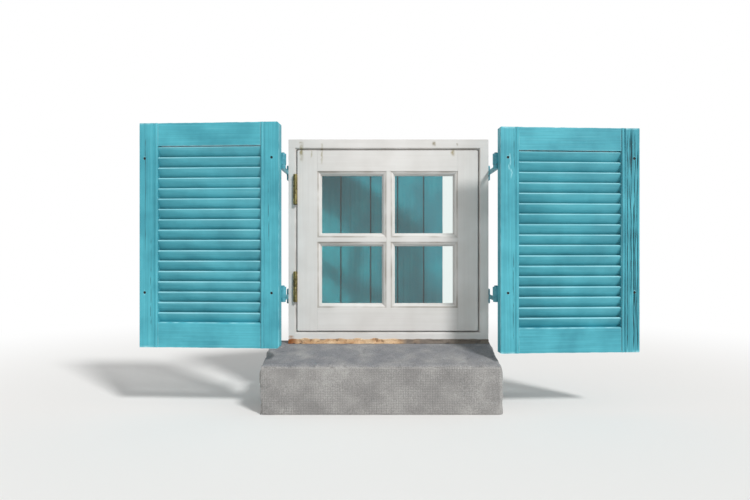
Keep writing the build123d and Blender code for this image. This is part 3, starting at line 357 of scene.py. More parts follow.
# the quirk is the only street surface 0.5 to 2.2 mm behind the face of the sash
QUIRK_NEAR = (0.0004, 0.0012)
QUIRK_FAR = (0.0022, 0.0029)
# stains as (middle, half width, lowest and highest level, colour), in metres
STAINS = [
    (-0.261, 0.006, 0.708, 0.772, "#7C6E1C"), (-0.200, 0.0032, 0.700, 0.768, "#83752A"),
    (-0.231, 0.0028, 0.722, 0.746, "#8F8142"), (0.1365, 0.006, 0.755, 0.773, "#6E5F2C"),
    (0.1930, 0.0065, 0.725, 0.750, "#8C7B3E"), (0.2055, 0.0035, 0.757, 0.768, "#6E5F2C"),
    (-0.2910, 0.0085, 0.170, 0.191, "#A06B38"),
]
STAIN_SWAY = 0.009
# places behind the street face between which the stains end
STAIN_DEPTH = (0.008, 0.014)
WHITE_UPRIGHT = ["frame_jamb_left", "frame_jamb_right", "sash_stile_left", "sash_stile_right",
                 "glazing_bar_upright", "glazing_beads"]
WHITE_LEVEL = ["frame_head", "frame_bottom", "sash_rail_top", "sash_rail_bottom",
               "glazing_bar_left", "glazing_bar_right"]


def blunted(node_name, width):
    """Rounds the arrises of a CAD node as paint or wear does, without touching its vertices.

    Its doubled points are joined and its flat stretches made whole first, so that no narrow
    triangle spoils the rounding.
    """
    piece = nodes[node_name]
    weld = piece.modifiers.new("joined", "WELD")
    weld.merge_threshold = WELD_GAP
    flats = piece.modifiers.new("flats", "DECIMATE")
    flats.decimate_type = "DISSOLVE"
    flats.angle_limit = FLAT_ANGLE
    round_off = piece.modifiers.new("arris", "BEVEL")
    round_off.width = width
    round_off.segments = 2
    round_off.limit_method = "ANGLE"
    round_off.angle_limit = SHARP_EDGE
    round_off.harden_normals = True
    return piece


def brushed_oil_paint(name, sizes):
    """White oil paint on pine: satin, faintly yellow, with brush lines along the member."""
    material, tree = new_material(name)
    spot = node(tree, "ShaderNodeTexCoord").outputs["Object"]
    apart = node(tree, "ShaderNodeSeparateXYZ", {0: spot})
    lines = node(tree, "ShaderNodeMapping", {"Vector": spot, "Scale": sizes}, vector_type="TEXTURE")
    lines = node(tree, "ShaderNodeTexNoise", {"Vector": lines.outputs[0], "Scale": 1.0, "Detail": 3.0})
    cloud = node(tree, "ShaderNodeTexNoise", {"Vector": spot, "Scale": 1 / 0.11, "Detail": 3.0})
    tone = node(tree, "ShaderNodeMapRange", {
        "Value": cloud.outputs["Fac"], "From Min": 0.35, "From Max": 0.68})
    colour = node(tree, "ShaderNodeMix", {
        0: tone.outputs["Result"], 6: linear("#E0DEDB"), 7: linear("#D3D0CC")}, data_type="RGBA")
    faint = node(tree, "ShaderNodeMapRange", {
        "Value": lines.outputs["Fac"], "From Min": 0.4, "From Max": 0.7, "To Min": 0.0, "To Max": 0.2})
    colour = node(tree, "ShaderNodeMix", {
        0: faint.outputs["Result"], 6: colour.outputs[2], 7: linear("#C2BEB8")}, data_type="RGBA")
    # dirt and painted shade in the quirk, in patches
    near = node(tree, "ShaderNodeMapRange", {
        "Value": apart.outputs["Y"], "From Min": QUIRK_NEAR[0], "From Max": QUIRK_NEAR[1]},
        interpolation_type="SMOOTHSTEP")
    far = node(tree, "ShaderNodeMapRange", {
        "Value": apart.outputs["Y"], "From Min": QUIRK_FAR[0], "From Max": QUIRK_FAR[1],
        "To Min": 1.0, "To Max": 0.0}, interpolation_type="SMOOTHSTEP")
    dirt_and_shade = node(tree, "ShaderNodeMath", {
        0: near.outputs["Result"], 1: far.outputs["Result"]}, operation="MULTIPLY")
    patch = node(tree, "ShaderNodeMapRange", {
        "Value": cloud.outputs["Fac"], "From Min": 0.42, "From Max": 0.6, "To Min": 0.2, "To Max": 0.65})
    dirt_and_shade = node(tree, "ShaderNodeMath", {
        0: dirt_and_shade.outputs[0], 1: patch.outputs["Result"]}, operation="MULTIPLY")
    colour = node(tree, "ShaderNodeMix", {
        0: dirt_and_shade.outputs[0], 6: colour.outputs[2], 7: linear("#84796B")}, data_type="RGBA")
    wander = node(tree, "ShaderNodeTexNoise", {"Vector": spot, "Scale": 1 / 0.012, "Detail": 3.0})
    street_side = node(tree, "ShaderNodeMapRange", {
        "Value": apart.outputs["Y"], "From Min": STAIN_DEPTH[0], "From Max": STAIN_DEPTH[1],
        "To Min": 1.0, "To Max": 0.0})
    for x, half_width, low, high, code in STAINS:
        bent = node(tree, "ShaderNodeMath", {
            0: wander.outputs["Fac"], 1: STAIN_SWAY, 2: apart.outputs["X"]}, operation="MULTIPLY_ADD")
        off = node(tree, "ShaderNodeMath", {
            0: bent.outputs[0], 1: x + STAIN_SWAY / 2}, operation="SUBTRACT")
        off = node(tree, "ShaderNodeMath", {0: off.outputs[0]}, operation="ABSOLUTE")
        off = node(tree, "ShaderNodeMapRange", {
            "Value": off.outputs[0], "From Min": half_width * 0.3, "From Max": half_width * 1.2,
            "To Min": 1.0, "To Max": 0.0})
        below = node(tree, "ShaderNodeMapRange", {
            "Value": apart.outputs["Z"], "From Min": low, "From Max": low + (high - low) * 0.35})
        above = node(tree, "ShaderNodeMapRange", {
            "Value": apart.outputs["Z"], "From Min": high - 0.004, "From Max": high,
            "To Min": 1.0, "To Max": 0.0})
        run = node(tree, "ShaderNodeMath", {
            0: below.outputs["Result"], 1: above.outputs["Result"]}, operation="MULTIPLY")
        run = node(tree, "ShaderNodeMath", {
            0: run.outputs[0], 1: off.outputs["Result"]}, operation="MULTIPLY")
        patch = node(tree, "ShaderNodeMapRange", {
            "Value": wander.outputs["Fac"], "From Min": 0.35, "From Max": 0.6,
            "To Min": 0.2, "To Max": 0.75})
        run = node(tree, "ShaderNodeMath", {
            0: run.outputs[0], 1: patch.outputs["Result"]}, operation="MULTIPLY")
        run = node(tree, "ShaderNodeMath", {
            0: run.outputs[0], 1: street_side.outputs["Result"]}, operation="MULTIPLY")
        colour = node(tree, "ShaderNodeMix", {
            0: run.outputs[0], 6: colour.outputs[2], 7: linear(code)}, data_type="RGBA")
    relief = node(tree, "ShaderNodeBump", {
        "Height": lines.outputs["Fac"], "Distance": 0.0002, "Strength": 0.5})
    sag = node(tree, "ShaderNodeBump", {
        "Height": cloud.outputs["Fac"], "Distance": 0.001, "Strength": 0.4, "Normal": relief.outputs[0]})
    shine = node(tree, "ShaderNodeMapRange", {
        "Value": cloud.outputs["Fac"], "From Min": 0.3, "From Max": 0.7, "To Min": 0.36, "To Max": 0.52})
    body = node(tree, "ShaderNodeBsdfPrincipled", {
        "Base Color": colour.outputs[2], "Roughness": shine.outputs["Result"], "IOR": 1.5,
        "Normal": sag.outputs[0]})
    node(tree, "ShaderNodeOutputMaterial", {"Surface": body.outputs[0]})
    return material


white_upright = brushed_oil_paint("brushed_white_oil_paint_upright", BRUSH_LINES_UPRIGHT)
white_level = brushed_oil_paint("brushed_white_oil_paint_level", BRUSH_LINES_LEVEL)
for names, material in ((WHITE_UPRIGHT, white_upright), (WHITE_LEVEL, white_level)):
    for name in names:
        give_material(blunted(name, WHITE_ARRIS), material)

# Panes. Four panes of drawn sheet glass, 4 mm thick, bedded against the mouldings and held by beads
# from the room side. Drawn glass is clear, faintly green and a little wavy, so what it mirrors swims.
drawn_glass, tree = new_material("drawn_sheet_glass")
spot = node(tree, "ShaderNodeTexCoord").outputs["Object"]
swim = node(tree, "ShaderNodeTexNoise", {"Vector": spot, "Scale": 1 / 0.07, "Detail": 1.0})
relief = node(tree, "ShaderNodeBump", {
    "Height": swim.outputs["Fac"], "Distance": 0.0012, "Strength": 0.3})
glass = node(tree, "ShaderNodeBsdfPrincipled", {
    "Base Color": linear("#EAF3F0"), "Roughness": 0.02, "IOR": 1.52, "Transmission Weight": 1.0,
    "Normal": relief.outputs[0]})
clear = node(tree, "ShaderNodeBsdfTransparent", {"Color": linear("#E3EFEB")})
lamp_ray = node(tree, "ShaderNodeLightPath").outputs["Is Shadow Ray"]
pane = node(tree, "ShaderNodeMixShader", {0: lamp_ray, 1: glass.outputs[0], 2: clear.outputs[0]})
node(tree, "ShaderNodeOutputMaterial", {"Surface": pane.outputs[0]})
for place in ("upper_left", "upper_right", "lower_left", "lower_right"):
    give_material(nodes["pane_" + place], drawn_glass)

# Brass hinges and catch. Lift-off hinges of extruded brass and a turning catch of cast brass, all
# screwed on and left bare. Hands keep the catch bright, and the weather has browned the hinges.
HINGE_ARRIS = 0.0004
CATCH_ARRIS = 0.0006


def brass(name, bright, brown, share):
    """Aged brass: warm metal, browned in patches that take its shine.

    share is the level of the noise at which bright metal gives way to brown.
    """
    material, tree = new_material(name)
    spot = node(tree, "ShaderNodeTexCoord").outputs["Object"]
    patch = node(tree, "ShaderNodeTexNoise", {"Vector": spot, "Scale": 1 / 0.009, "Detail": 5.0})
    rub = node(tree, "ShaderNodeTexNoise", {"Vector": spot, "Scale": 1 / 0.0012, "Detail": 2.0})
    aged = node(tree, "ShaderNodeMapRange", {
        "Value": patch.outputs["Fac"], "From Min": share - 0.12, "From Max": share + 0.12})
    colour = node(tree, "ShaderNodeMix", {
        0: aged.outputs["Result"], 6: linear(brown), 7: linear(bright)}, data_type="RGBA")
    metal = node(tree, "ShaderNodeMapRange", {
        "Value": aged.outputs["Result"], "To Min": 0.75, "To Max": 1.0})
    dull = node(tree, "ShaderNodeMapRange", {
        "Value": aged.outputs["Result"], "To Min": 0.62, "To Max": 0.34})
    relief = node(tree, "ShaderNodeBump", {
        "Height": rub.outputs["Fac"], "Distance": 0.0002, "Strength": 0.5})
    body = node(tree, "ShaderNodeBsdfPrincipled", {
        "Base Color": colour.outputs[2], "Metallic": metal.outputs["Result"],
        "Roughness": dull.outputs["Result"], "Normal": relief.outputs[0]})
    node(tree, "ShaderNodeOutputMaterial", {"Surface": body.outputs[0]})
    return material


weathered_brass = brass("weathered_brass", "#978B5C", "#524A30", 0.49)
handled_brass = brass("handled_brass", "#BE9C54", "#6A5426", 0.42)
for name in ("sash_hinge_upper_frame_half", "sash_hinge_lower_frame_half",
             "sash_hinge_upper_sash_half", "sash_hinge_lower_sash_half"):
    give_material(blunted(name, HINGE_ARRIS), weathered_brass)
for name in ("frame_brass_screws", "sash_brass_screws"):
    give_material(nodes[name], weathered_brass)
for name in ("catch_keep", "catch_base", "catch_lever"):
    give_material(blunted(name, CATCH_ARRIS), handled_brass)

# Louvred shutters. Two leaves of softwood, tenoned together, brushed with turquoise paint. Sun and
# rain have raised the grain and opened long cracks, worst on the outer stile of the right leaf, and
# the paint is thin and pale on every edge.
HANDS = {"left": -1, "right": 1}
LEAF_TILT = radians(4)
LEAF_PIN = (0.298, -0.133)
# members are sliced finer across the grain than along it
STILE_SLICE = 0.0011
RAIL_SLICE = 0.0016
LONG_SLICE = 0.006
SLAT_SLICE = 0.008
GRAIN_DEPTH = 0.00025
# how much rougher than the other members these have weathered
COARSE = {"right_free_stile": 3.6, "right_hinge_stile": 1.8}
EDGE_WEAR = 0.0005
# cracks as (distance from the pin, lowest and highest level, half width, depth), in metres
CRACKS = {
    "left_hinge_stile": [(0.0315, 0.44, 0.66, 0.0006, 0.0007)],
    "left_free_stile": [(0.362, 0.20, 0.52, 0.0005, 0.0006), (0.378, 0.42, 0.79, 0.0006, 0.0007)],
    "right_hinge_stile": [(0.0400, 0.60, 0.79, 0.0006, 0.0008), (0.0385, 0.17, 0.46, 0.0006, 0.0008)],
    "right_free_stile": [
        (0.3600, 0.15, 0.79, 0.0010, 0.0016), (0.3710, 0.62, 0.80, 0.0024, 0.0030),
        (0.3700, 0.30, 0.66, 0.0012, 0.0020), (0.3775, 0.15, 0.60, 0.0013, 0.0020),
        (0.3808, 0.24, 0.79, 0.0010, 0.0018), (0.3882, 0.15, 0.74, 0.0012, 0.0020),
        (0.3650, 0.55, 0.79, 0.0007, 0.0012),
    ],
}
CRACK_SWAY = 0.0022
CRACK_RUN_OUT = 0.05
# paint flaked off along a line of points, as (distance from the pin, level)
FLAKES = {"right_hinge_stile": [(0.0282, 0.7105), (0.0305, 0.6845), (0.0235, 0.6736),
                                (0.0352, 0.6604), (0.0314, 0.6473)]}
FLAKE_WIDTH = 0.0012
FLAKE_DEPTH = 0.0006
# the joint lines beside the beads, by their distance from the pin, and the one that lies in shade,
# which is drawn wider as a painted shadow of the stile
BEAD_EDGES = (0.054, 0.343)
SHADED_EDGE = {"left": 0.054, "right": 0.343}
JOINT_WIDTH = 0.001
SHADED_JOINT_WIDTH = 0.0019
# how far from a joint line the paint keeps its colour
BEAD_REACH = 0.012
SLAT_PITCH = 0.0287
SLAT_ARRIS = 0.0012
SLAT_SWAY = 0.0003
# cosine and sine of the slats' slope
SLAT_LEVEL, SLAT_STEEP = 0.866, 0.5


def leaf_directions(side):
    """The way along a leaf from its pin, the way it faces the street, and the place of its pin."""
    hand = HANDS[side]
    along = Vector((hand * cos(LEAF_TILT), sin(LEAF_TILT), 0))
    street = Vector((hand * sin(LEAF_TILT), -cos(LEAF_TILT), 0))
    return along, street, Vector((hand * LEAF_PIN[0], LEAF_PIN[1], 0))


def cracked(cracks, across, run):
    """How deep the cracks are at a place on a member, and how open from 0 to 1."""
    depth, widest = 0.0, 0.0
    for place, low, high, half_width, deep in cracks:
        bend = CRACK_SWAY * noise.noise(Vector((0, run / 0.05, place * 900)))
        width = half_width * (0.75 + 0.5 * noise.noise(Vector((9, run / 0.02, place))))
        gap = (across - place - bend) / width
        share = exp(-gap * gap) * ease(low, low + CRACK_RUN_OUT, run)
        share *= 1 - ease(high - CRACK_RUN_OUT, high, run)
        widest = max(widest, share)
        depth += deep * share
    return depth, widest


def flaked(line, along, level):
    """How far the paint has come off at a place beside a line of points, from 0 to 1."""
    flake = 0.0
    for (u1, z1), (u2, z2) in zip(line, line[1:]):
        wide, high = u2 - u1, z2 - z1
        share = clamp(((along - u1) * wide + (level - z1) * high) / (wide ** 2 + high ** 2))
        away = Vector((along - u1 - share * wide, level - z1 - share * high)).length / FLAKE_WIDTH
        flake = max(flake, exp(-away * away))
    return flake


def jointed(side, across):
    """How much of a joint line shows at a distance from the pin, from 0 to 1, with painted shadow."""
    widths = {place: SHADED_JOINT_WIDTH if place == SHADED_EDGE[side] else JOINT_WIDTH
              for place in BEAD_EDGES}
    away = min(abs(across - place) / width for place, width in widths.items())
    return exp(-away * away)


def weathered(side, part, upright):
    """The wear of one member: raised grain along it, cracks, flakes and pale edges."""
    along, street, pin = leaf_directions(side)
    name = f"{side}_{part}"
    seed = len(name) * 3.7 + HANDS[side]

    def wear(point, normal):
        from_pin = (point - pin).dot(along)
        run, across = (point.z, from_pin) if upright else (from_pin, point.z)
        grain = noise.noise(Vector((across / 0.0034, run / 0.14, seed)))
        grain += 0.6 * noise.noise(Vector((across / 0.0085, run / 0.3, seed + 5)))
        crack_depth, crack = cracked(CRACKS.get(name, []), across, run)
        flake = flaked(FLAKES.get(name, []), from_pin, point.z)
        depth = GRAIN_DEPTH * COARSE.get(name, 1.0) * clamp(0.5 + grain)
        depth += crack_depth + FLAKE_DEPTH * flake
        to_street, to_side = abs(normal.dot(street)), abs(normal.dot(along))
        face = ease(0.6, 0.9, to_street)
        edge = 1 - ease(0.75, 0.98, max(to_street, to_side, abs(normal.z)))
        if upright:
            # dark joint lines, the one on the shaded side drawn wider as a painted shadow of the stile
            crack = max(crack, jointed(side, across))
            if min(abs(across - place) for place in BEAD_EDGES) < BEAD_REACH:
                edge *= 0.15
        pale_edge = max(edge * clamp(0.5 + 1.2 * patchy(point, 60)), flake)
        return -normal * (depth * face + EDGE_WEAR * pale_edge), {"crack": crack * face, "edge": pale_edge}

    return wear


def swayed(side):
    """The wear of a leaf's slats: slight sway from slat to slat, pale arrises, painted top highlights."""
    along, street, pin = leaf_directions(side)

    def wear(point, normal):
        from_pin = (point - pin).dot(along)
        slat = round(point.z / SLAT_PITCH)
        sway = SLAT_SWAY * clamp(0.5 + noise.noise(Vector((from_pin / 0.09, slat * 5.1, HANDS[side]))))
        to_street = normal.dot(street)
        upper_face = normal.z * SLAT_LEVEL + to_street * SLAT_STEEP
        front_edge = abs(to_street * SLAT_LEVEL - normal.z * SLAT_STEEP)
        flat = max(abs(normal.dot(along)), ease(0.93, 1.0, max(upper_face, front_edge)))
        # painted highlight: each slat's upper edge face is drawn paler, as where light from above falls
        painted_top_highlight = ease(0.5, 0.95, upper_face)
        pale_edge = clamp(0.85 + 0.4 * patchy(point, 14)) * max(painted_top_highlight, 0.6 * (1 - flat))
        return -normal * sway * ease(0.2, 0.6, to_street), {"edge": pale_edge, "crack": 0.0}

    return wear


leaf_pieces = {}
for side in HANDS:
    along = leaf_directions(side)[0]
    stile_cuts = [(along, STILE_SLICE), (UP, LONG_SLICE)]
    rail_cuts = [(along, LONG_SLICE), (UP, RAIL_SLICE)]
    for part in ("hinge_stile", "free_stile", "top_rail", "bottom_rail"):
        upright = part.endswith("stile")
        name = f"{side}_{part}"
        cuts = stile_cuts if upright else rail_cuts
        leaf_pieces[name] = fine_copy(name, cuts, weathered(side, part, upright))
    name = f"{side}_louvre_slats"
    leaf_pieces[name] = fine_copy(name, [(along, SLAT_SLICE)], swayed(side), SLAT_ARRIS)


def shutter_paint(name, sizes, turn=0.0, relief_height=0.0003, shade=1.0, streak=0.32):
    """Turquoise paint on weathered softwood: satin, faded in the sun, darker along the grain.

    sizes are the lengths over which the grain changes along each axis, in metres, and turn
    lays the first axis along the leaf. shade below 1 darkens and saturates the paint as painted
    shade, and streak is how clearly the grain shows.
    """
    material, tree = new_material(name)
    spot = node(tree, "ShaderNodeTexCoord").outputs["Object"]
    lines = node(tree, "ShaderNodeMapping", {
        "Vector": spot, "Scale": sizes, "Rotation": (0, 0, turn)}, vector_type="TEXTURE")
    lines = node(tree, "ShaderNodeTexNoise", {
        "Vector": lines.outputs[0], "Scale": 1.0, "Detail": 4.0, "Roughness": 0.6})
    fade = node(tree, "ShaderNodeTexNoise", {"Vector": spot, "Scale": 1 / 0.09, "Detail": 4.0})
    tone = node(tree, "ShaderNodeMapRange", {
        "Value": fade.outputs["Fac"], "From Min": 0.34, "From Max": 0.66})
    colour = node(tree, "ShaderNodeMix", {
        0: tone.outputs["Result"], 6: linear("#3B97A7"), 7: linear("#50B2C1")}, data_type="RGBA")
    dark = node(tree, "ShaderNodeMapRange", {
        "Value": lines.outputs["Fac"], "From Min": 0.42, "From Max": 0.72,
        "To Min": 0.0, "To Max": streak})
    colour = node(tree, "ShaderNodeMix", {
        0: dark.outputs["Result"], 6: colour.outputs[2], 7: linear("#266B79")}, data_type="RGBA")
    pale = node(tree, "ShaderNodeMapRange", {
        "Value": lines.outputs["Fac"], "From Min": 0.42, "From Max": 0.24,
        "To Min": 0.0, "To Max": streak})
    colour = node(tree, "ShaderNodeMix", {
        0: pale.outputs["Result"], 6: colour.outputs[2], 7: linear("#7CC3CB")}, data_type="RGBA")
    # shade below 1 darkens and saturates the colour as painted shade
    colour = node(tree, "ShaderNodeHueSaturation", {
        "Saturation": 2 - shade, "Value": shade, "Color": colour.outputs[2]})
    # paler on worn edges, and on the slats' upper edges as a painted highlight
    edge = node(tree, "ShaderNodeAttribute", attribute_name="edge").outputs["Fac"]
    edge = node(tree, "ShaderNodeMath", {0: edge, 1: 0.8}, operation="MULTIPLY")
    colour = node(tree, "ShaderNodeMix", {
        0: edge.outputs[0], 6: colour.outputs[0], 7: linear("#A2DDE5")}, data_type="RGBA")
    # dark cracks and joint lines, with painted shadow beside one bead and painted shade in the boards'
    # vees
    crack = node(tree, "ShaderNodeAttribute", attribute_name="crack").outputs["Fac"]
    crack = node(tree, "ShaderNodeMapRange", {"Value": crack, "From Min": 0.2, "From Max": 0.75})
    colour = node(tree, "ShaderNodeMix", {
        0: crack.outputs["Result"], 6: colour.outputs[2], 7: linear("#12272E")}, data_type="RGBA")
    relief = node(tree, "ShaderNodeBump", {
        "Height": lines.outputs["Fac"], "Distance": relief_height, "Strength": 0.7})
    shine = node(tree, "ShaderNodeMapRange", {
        "Value": lines.outputs["Fac"], "From Min": 0.3, "From Max": 0.7, "To Min": 0.42, "To Max": 0.62})
    body = node(tree, "ShaderNodeBsdfPrincipled", {
        "Base Color": colour.outputs[2], "Roughness": shine.outputs["Result"], "IOR": 1.5,
        "Normal": relief.outputs[0]})
    node(tree, "ShaderNodeOutputMaterial", {"Surface": body.outputs[0]})
    return material


STILE_GRAIN = (0.0042, 0.0042, 0.22)
RAIL_GRAIN = (0.2, 0.0042, 0.0042)
SLAT_GRAIN = (0.24, 0.006, 0.006)
SLAT_RELIEF = 0.00008
stile_paint = shutter_paint("weathered_turquoise_paint_upright", STILE_GRAIN)
rough_paint = shutter_paint("cracked_turquoise_paint_upright", STILE_GRAIN, streak=0.8)
for side, hand in HANDS.items():
    turn = hand * LEAF_TILT
    rail_paint = shutter_paint(f"weathered_turquoise_paint_{side}_rails", RAIL_GRAIN, turn)
    slat_paint = shutter_paint(f"turquoise_paint_{side}_louvres", SLAT_GRAIN, turn, SLAT_RELIEF,
                               streak=0.2)
    give_material(leaf_pieces[f"{side}_hinge_stile"], stile_paint)
    give_material(leaf_pieces[f"{side}_free_stile"], rough_paint if side == "right" else stile_paint)
    give_material(leaf_pieces[f"{side}_top_rail"], rail_paint)
    give_material(leaf_pieces[f"{side}_bottom_rail"], rail_paint)
    give_material(leaf_pieces[f"{side}_louvre_slats"], slat_paint)

# Shutter ironwork. Forged steel straps bolted across the back of each leaf, rolled into eyes that
# drop over the pintles. All of it was painted with the leaves, and the sunk bolt ends on the street
# side have lost their paint.
IRON_ARRIS = 0.0008

# Oil paint over forged steel: satin turquoise that follows the hammer's dents, with rust spots.
painted_steel, tree = new_material("painted_forged_steel")
spot = node(tree, "ShaderNodeTexCoord").outputs["Object"]
hammer = node(tree, "ShaderNodeTexNoise", {"Vector": spot, "Scale": 1 / 0.011, "Detail": 3.0})
rust = node(tree, "ShaderNodeTexNoise", {"Vector": spot, "Scale": 1 / 0.006, "Detail": 5.0})
tone = node(tree, "ShaderNodeMapRange", {
    "Value": hammer.outputs["Fac"], "From Min": 0.35, "From Max": 0.65})
colour = node(tree, "ShaderNodeMix", {
    0: tone.outputs["Result"], 6: linear("#3B8797"), 7: linear("#55A6B5")}, data_type="RGBA")
bare = node(tree, "ShaderNodeMapRange", {
    "Value": rust.outputs["Fac"], "From Min": 0.64, "From Max": 0.7})
colour = node(tree, "ShaderNodeMix", {
    0: bare.outputs["Result"], 6: colour.outputs[2], 7: linear("#5A3A26")}, data_type="RGBA")
relief = node(tree, "ShaderNodeBump", {
    "Height": hammer.outputs["Fac"], "Distance": 0.0004, "Strength": 0.5})
body = node(tree, "ShaderNodeBsdfPrincipled", {
    "Base Color": colour.outputs[2], "Roughness": 0.48, "IOR": 1.5, "Normal": relief.outputs[0]})
node(tree, "ShaderNodeOutputMaterial", {"Surface": body.outputs[0]})

# Steel browned by old rust and paint: almost black, matt and grainy, with no metal shine.
browned_steel, tree = new_material("browned_bolt_steel")
spot = node(tree, "ShaderNodeTexCoord").outputs["Object"]
rust = node(tree, "ShaderNodeTexNoise", {"Vector": spot, "Scale": 1 / 0.002, "Detail": 4.0})
colour = node(tree, "ShaderNodeMix", {
    0: rust.outputs["Fac"], 6: linear("#14110F"), 7: linear("#2A211C")}, data_type="RGBA")
relief = node(tree, "ShaderNodeBump", {
    "Height": rust.outputs["Fac"], "Distance": 0.0003, "Strength": 0.6})
body = node(tree, "ShaderNodeBsdfPrincipled", {
    "Base Color": colour.outputs[2], "Roughness": 0.8, "IOR": 1.5, "Normal": relief.outputs[0]})
node(tree, "ShaderNodeOutputMaterial", {"Surface": body.outputs[0]})

for side in HANDS:
    for place in ("upper", "lower"):
        give_material(blunted(f"{side}_strap_{place}", IRON_ARRIS), painted_steel)
        give_material(blunted(f"pintle_{side}_{place}", IRON_ARRIS), painted_steel)
    give_material(nodes[f"{side}_strap_bolts"], browned_steel)

# Boarded inner shutter. Five matched softwood boards nailed to two ledges, painted like the louvred
# leaves but kept out of the weather, and hung by galvanised straps on galvanised pintles. Its paint
# is drawn darker and more saturated as painted shade.
INNER_TURN = radians(30)
BOARD_GRAIN = (0.006, 0.006, 0.3)
LEDGE_GRAIN = (0.3, 0.006, 0.006)
# how far the inner shutter's paint is darkened, as painted shade
PAINTED_SHADE_LEVEL = 0.64
LEDGE_ARRIS = 0.0007
STRAP_ARRIS = 0.0005
# depths behind a board's face between which painted shade sets in down its vee, and between which it ends
VEE_START = (0.0005, 0.004)
VEE_END = (0.012, 0.017)
window_face = Vector((sin(INNER_TURN), -cos(INNER_TURN), 0))


def vee_shaded(front_place):
    """The wear of a board whose face lies at front_place: none, only painted shade in its vees."""

    def wear(point, normal):
        deep = front_place - point.dot(window_face)
        dirt_and_shade = ease(*VEE_START, deep) * (1 - ease(*VEE_END, deep))
        return Vector((0, 0, 0)), {"edge": 0.0, "crack": dirt_and_shade}

    return wear


board_paint = shutter_paint("sheltered_turquoise_paint", BOARD_GRAIN, INNER_TURN, shade=PAINTED_SHADE_LEVEL)
for k in range(1, 6):
    name = f"inner_board_{k}"
    front_place = max(vertex.co.dot(window_face) for vertex in nodes[name].data.vertices)
    board = fine_copy(name, [], vee_shaded(front_place))
    give_material(board, board_paint)
ledge_paint = shutter_paint("sheltered_turquoise_paint_ledges", LEDGE_GRAIN, INNER_TURN,
                            shade=PAINTED_SHADE_LEVEL)
for place in ("upper", "lower"):
    give_material(blunted(f"inner_ledge_{place}", LEDGE_ARRIS), ledge_paint)

# Galvanised steel: dull grey zinc with large soft crystals.
galvanised, tree = new_material("galvanised_steel")
spot = node(tree, "ShaderNodeTexCoord").outputs["Object"]
flower = node(tree, "ShaderNodeTexVoronoi", {"Vector": spot, "Scale": 1 / 0.007})
tone = node(tree, "ShaderNodeMapRange", {
    "Value": flower.outputs["Distance"], "From Max": 0.8, "To Min": 0.35, "To Max": 0.62})
colour = node(tree, "ShaderNodeMix", {
    0: tone.outputs["Result"], 6: linear("#6E6F70"), 7: linear("#A8AAAB")}, data_type="RGBA")
body = node(tree, "ShaderNodeBsdfPrincipled", {
    "Base Color": colour.outputs[2], "Metallic": 1.0, "Roughness": tone.outputs["Result"]})
node(tree, "ShaderNodeOutputMaterial", {"Surface": body.outputs[0]})
for name in ("inner_straps", "inner_pintles"):
    give_material(blunted(name, STRAP_ARRIS), galvanised)
for name in ("pintle_screws", "inner_nails"):
    give_material(nodes[name], galvanised)

# Studio. A pale floor that fades into white, a broad soft lamp from the upper right, and an even
# white surround. They aren't part of the object.
FLOOR_HALF = 30.0
FLOOR_DROP = 0.0005
# distances from the object between which the floor fades into white
FLOOR_FADE = (0.9, 2.6)
SURROUND_LIGHT = 0.5
LAMP_STRENGTH = 2.3
LAMP_WIDTH = radians(9)
LAMP_SIDE = Vector((0.5, -0.72, 0.72))
# the camera looks level and square at the frame, and takes in 1.14 times its distance in width
CAMERA_PLACE = (-0.0405, -1.980, 0.446)
SENSOR_WIDTH = 36.0
LENS_LENGTH = 31.68

floor_mesh = bpy.data.meshes.new("studio_floor")
floor_corners = [(-FLOOR_HALF, -FLOOR_HALF, 0), (FLOOR_HALF, -FLOOR_HALF, 0),
                 (FLOOR_HALF, FLOOR_HALF, 0), (-FLOOR_HALF, FLOOR_HALF, 0)]
floor_mesh.from_pydata(floor_corners, [], [(0, 1, 2, 3)])
floor = bpy.data.objects.new("studio_floor", floor_mesh)
bpy.context.scene.collection.objects.link(floor)
floor.location.z = -FLOOR_DROP


def looked_at(tree):
    """1 for what the camera sees, also in gloss and through glass, and 0 for light on the object."""
    rays = node(tree, "ShaderNodeLightPath")
    seen = node(tree, "ShaderNodeMath", {
        0: rays.outputs["Is Camera Ray"], 1: rays.outputs["Is Glossy Ray"]}, operation="MAXIMUM")
    seen = node(tree, "ShaderNodeMath", {
        0: seen.outputs[0], 1: rays.outputs["Is Transmission Ray"]}, operation="MAXIMUM")
    return seen.outputs[0]


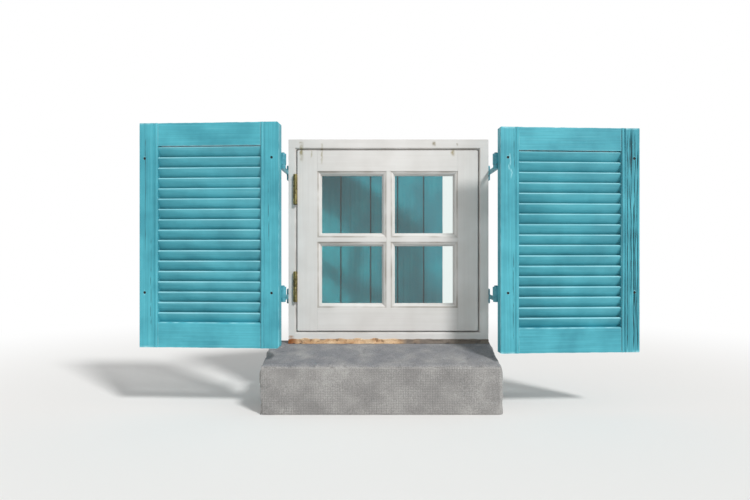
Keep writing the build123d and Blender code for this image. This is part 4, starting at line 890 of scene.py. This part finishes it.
# Matt pale paper: evenly bright, and plain white where the floor ends for the eye.
pale_floor, tree = new_material("pale_floor")
spot = node(tree, "ShaderNodeTexCoord").outputs["Object"]
far = node(tree, "ShaderNodeVectorMath", {0: spot}, operation="LENGTH").outputs["Value"]
far = node(tree, "ShaderNodeMapRange", {
    "Value": far, "From Min": FLOOR_FADE[0], "From Max": FLOOR_FADE[1]},
    interpolation_type="SMOOTHSTEP")
matt = node(tree, "ShaderNodeBsdfDiffuse", {"Color": linear("#F1F0EE")})
white = node(tree, "ShaderNodeEmission", {"Color": (1, 1, 1, 1), "Strength": 1.0})
share = node(tree, "ShaderNodeMath", {
    0: far.outputs["Result"], 1: looked_at(tree)}, operation="MULTIPLY")
ground = node(tree, "ShaderNodeMixShader", {0: share.outputs[0], 1: matt.outputs[0], 2: white.outputs[0]})
node(tree, "ShaderNodeOutputMaterial", {"Surface": ground.outputs[0]})
give_material(floor, pale_floor)

world = bpy.data.worlds.new("studio")
bpy.context.scene.world = world
world.use_nodes = True
tree = world.node_tree
tree.nodes.clear()
level = node(tree, "ShaderNodeMapRange", {
    "Value": looked_at(tree), "To Min": SURROUND_LIGHT, "To Max": 1.0})
sky = node(tree, "ShaderNodeBackground", {"Color": (1, 1, 1, 1), "Strength": level.outputs["Result"]})
node(tree, "ShaderNodeOutputWorld", {"Surface": sky.outputs[0]})

key_data = bpy.data.lights.new("key", "SUN")
key_data.energy = LAMP_STRENGTH
key_data.angle = LAMP_WIDTH
key = bpy.data.objects.new("key", key_data)
bpy.context.scene.collection.objects.link(key)
key.rotation_euler = (-LAMP_SIDE).to_track_quat("-Z", "Y").to_euler()

lens = bpy.data.cameras.new("camera")
lens.sensor_width = SENSOR_WIDTH
lens.lens = LENS_LENGTH
lens.clip_start = 0.05
camera = bpy.data.objects.new("camera", lens)
bpy.context.scene.collection.objects.link(camera)
camera.location = CAMERA_PLACE
camera.rotation_euler = (radians(90), 0, 0)
bpy.context.scene.camera = camera
bpy.context.scene.view_settings.view_transform = "Standard"
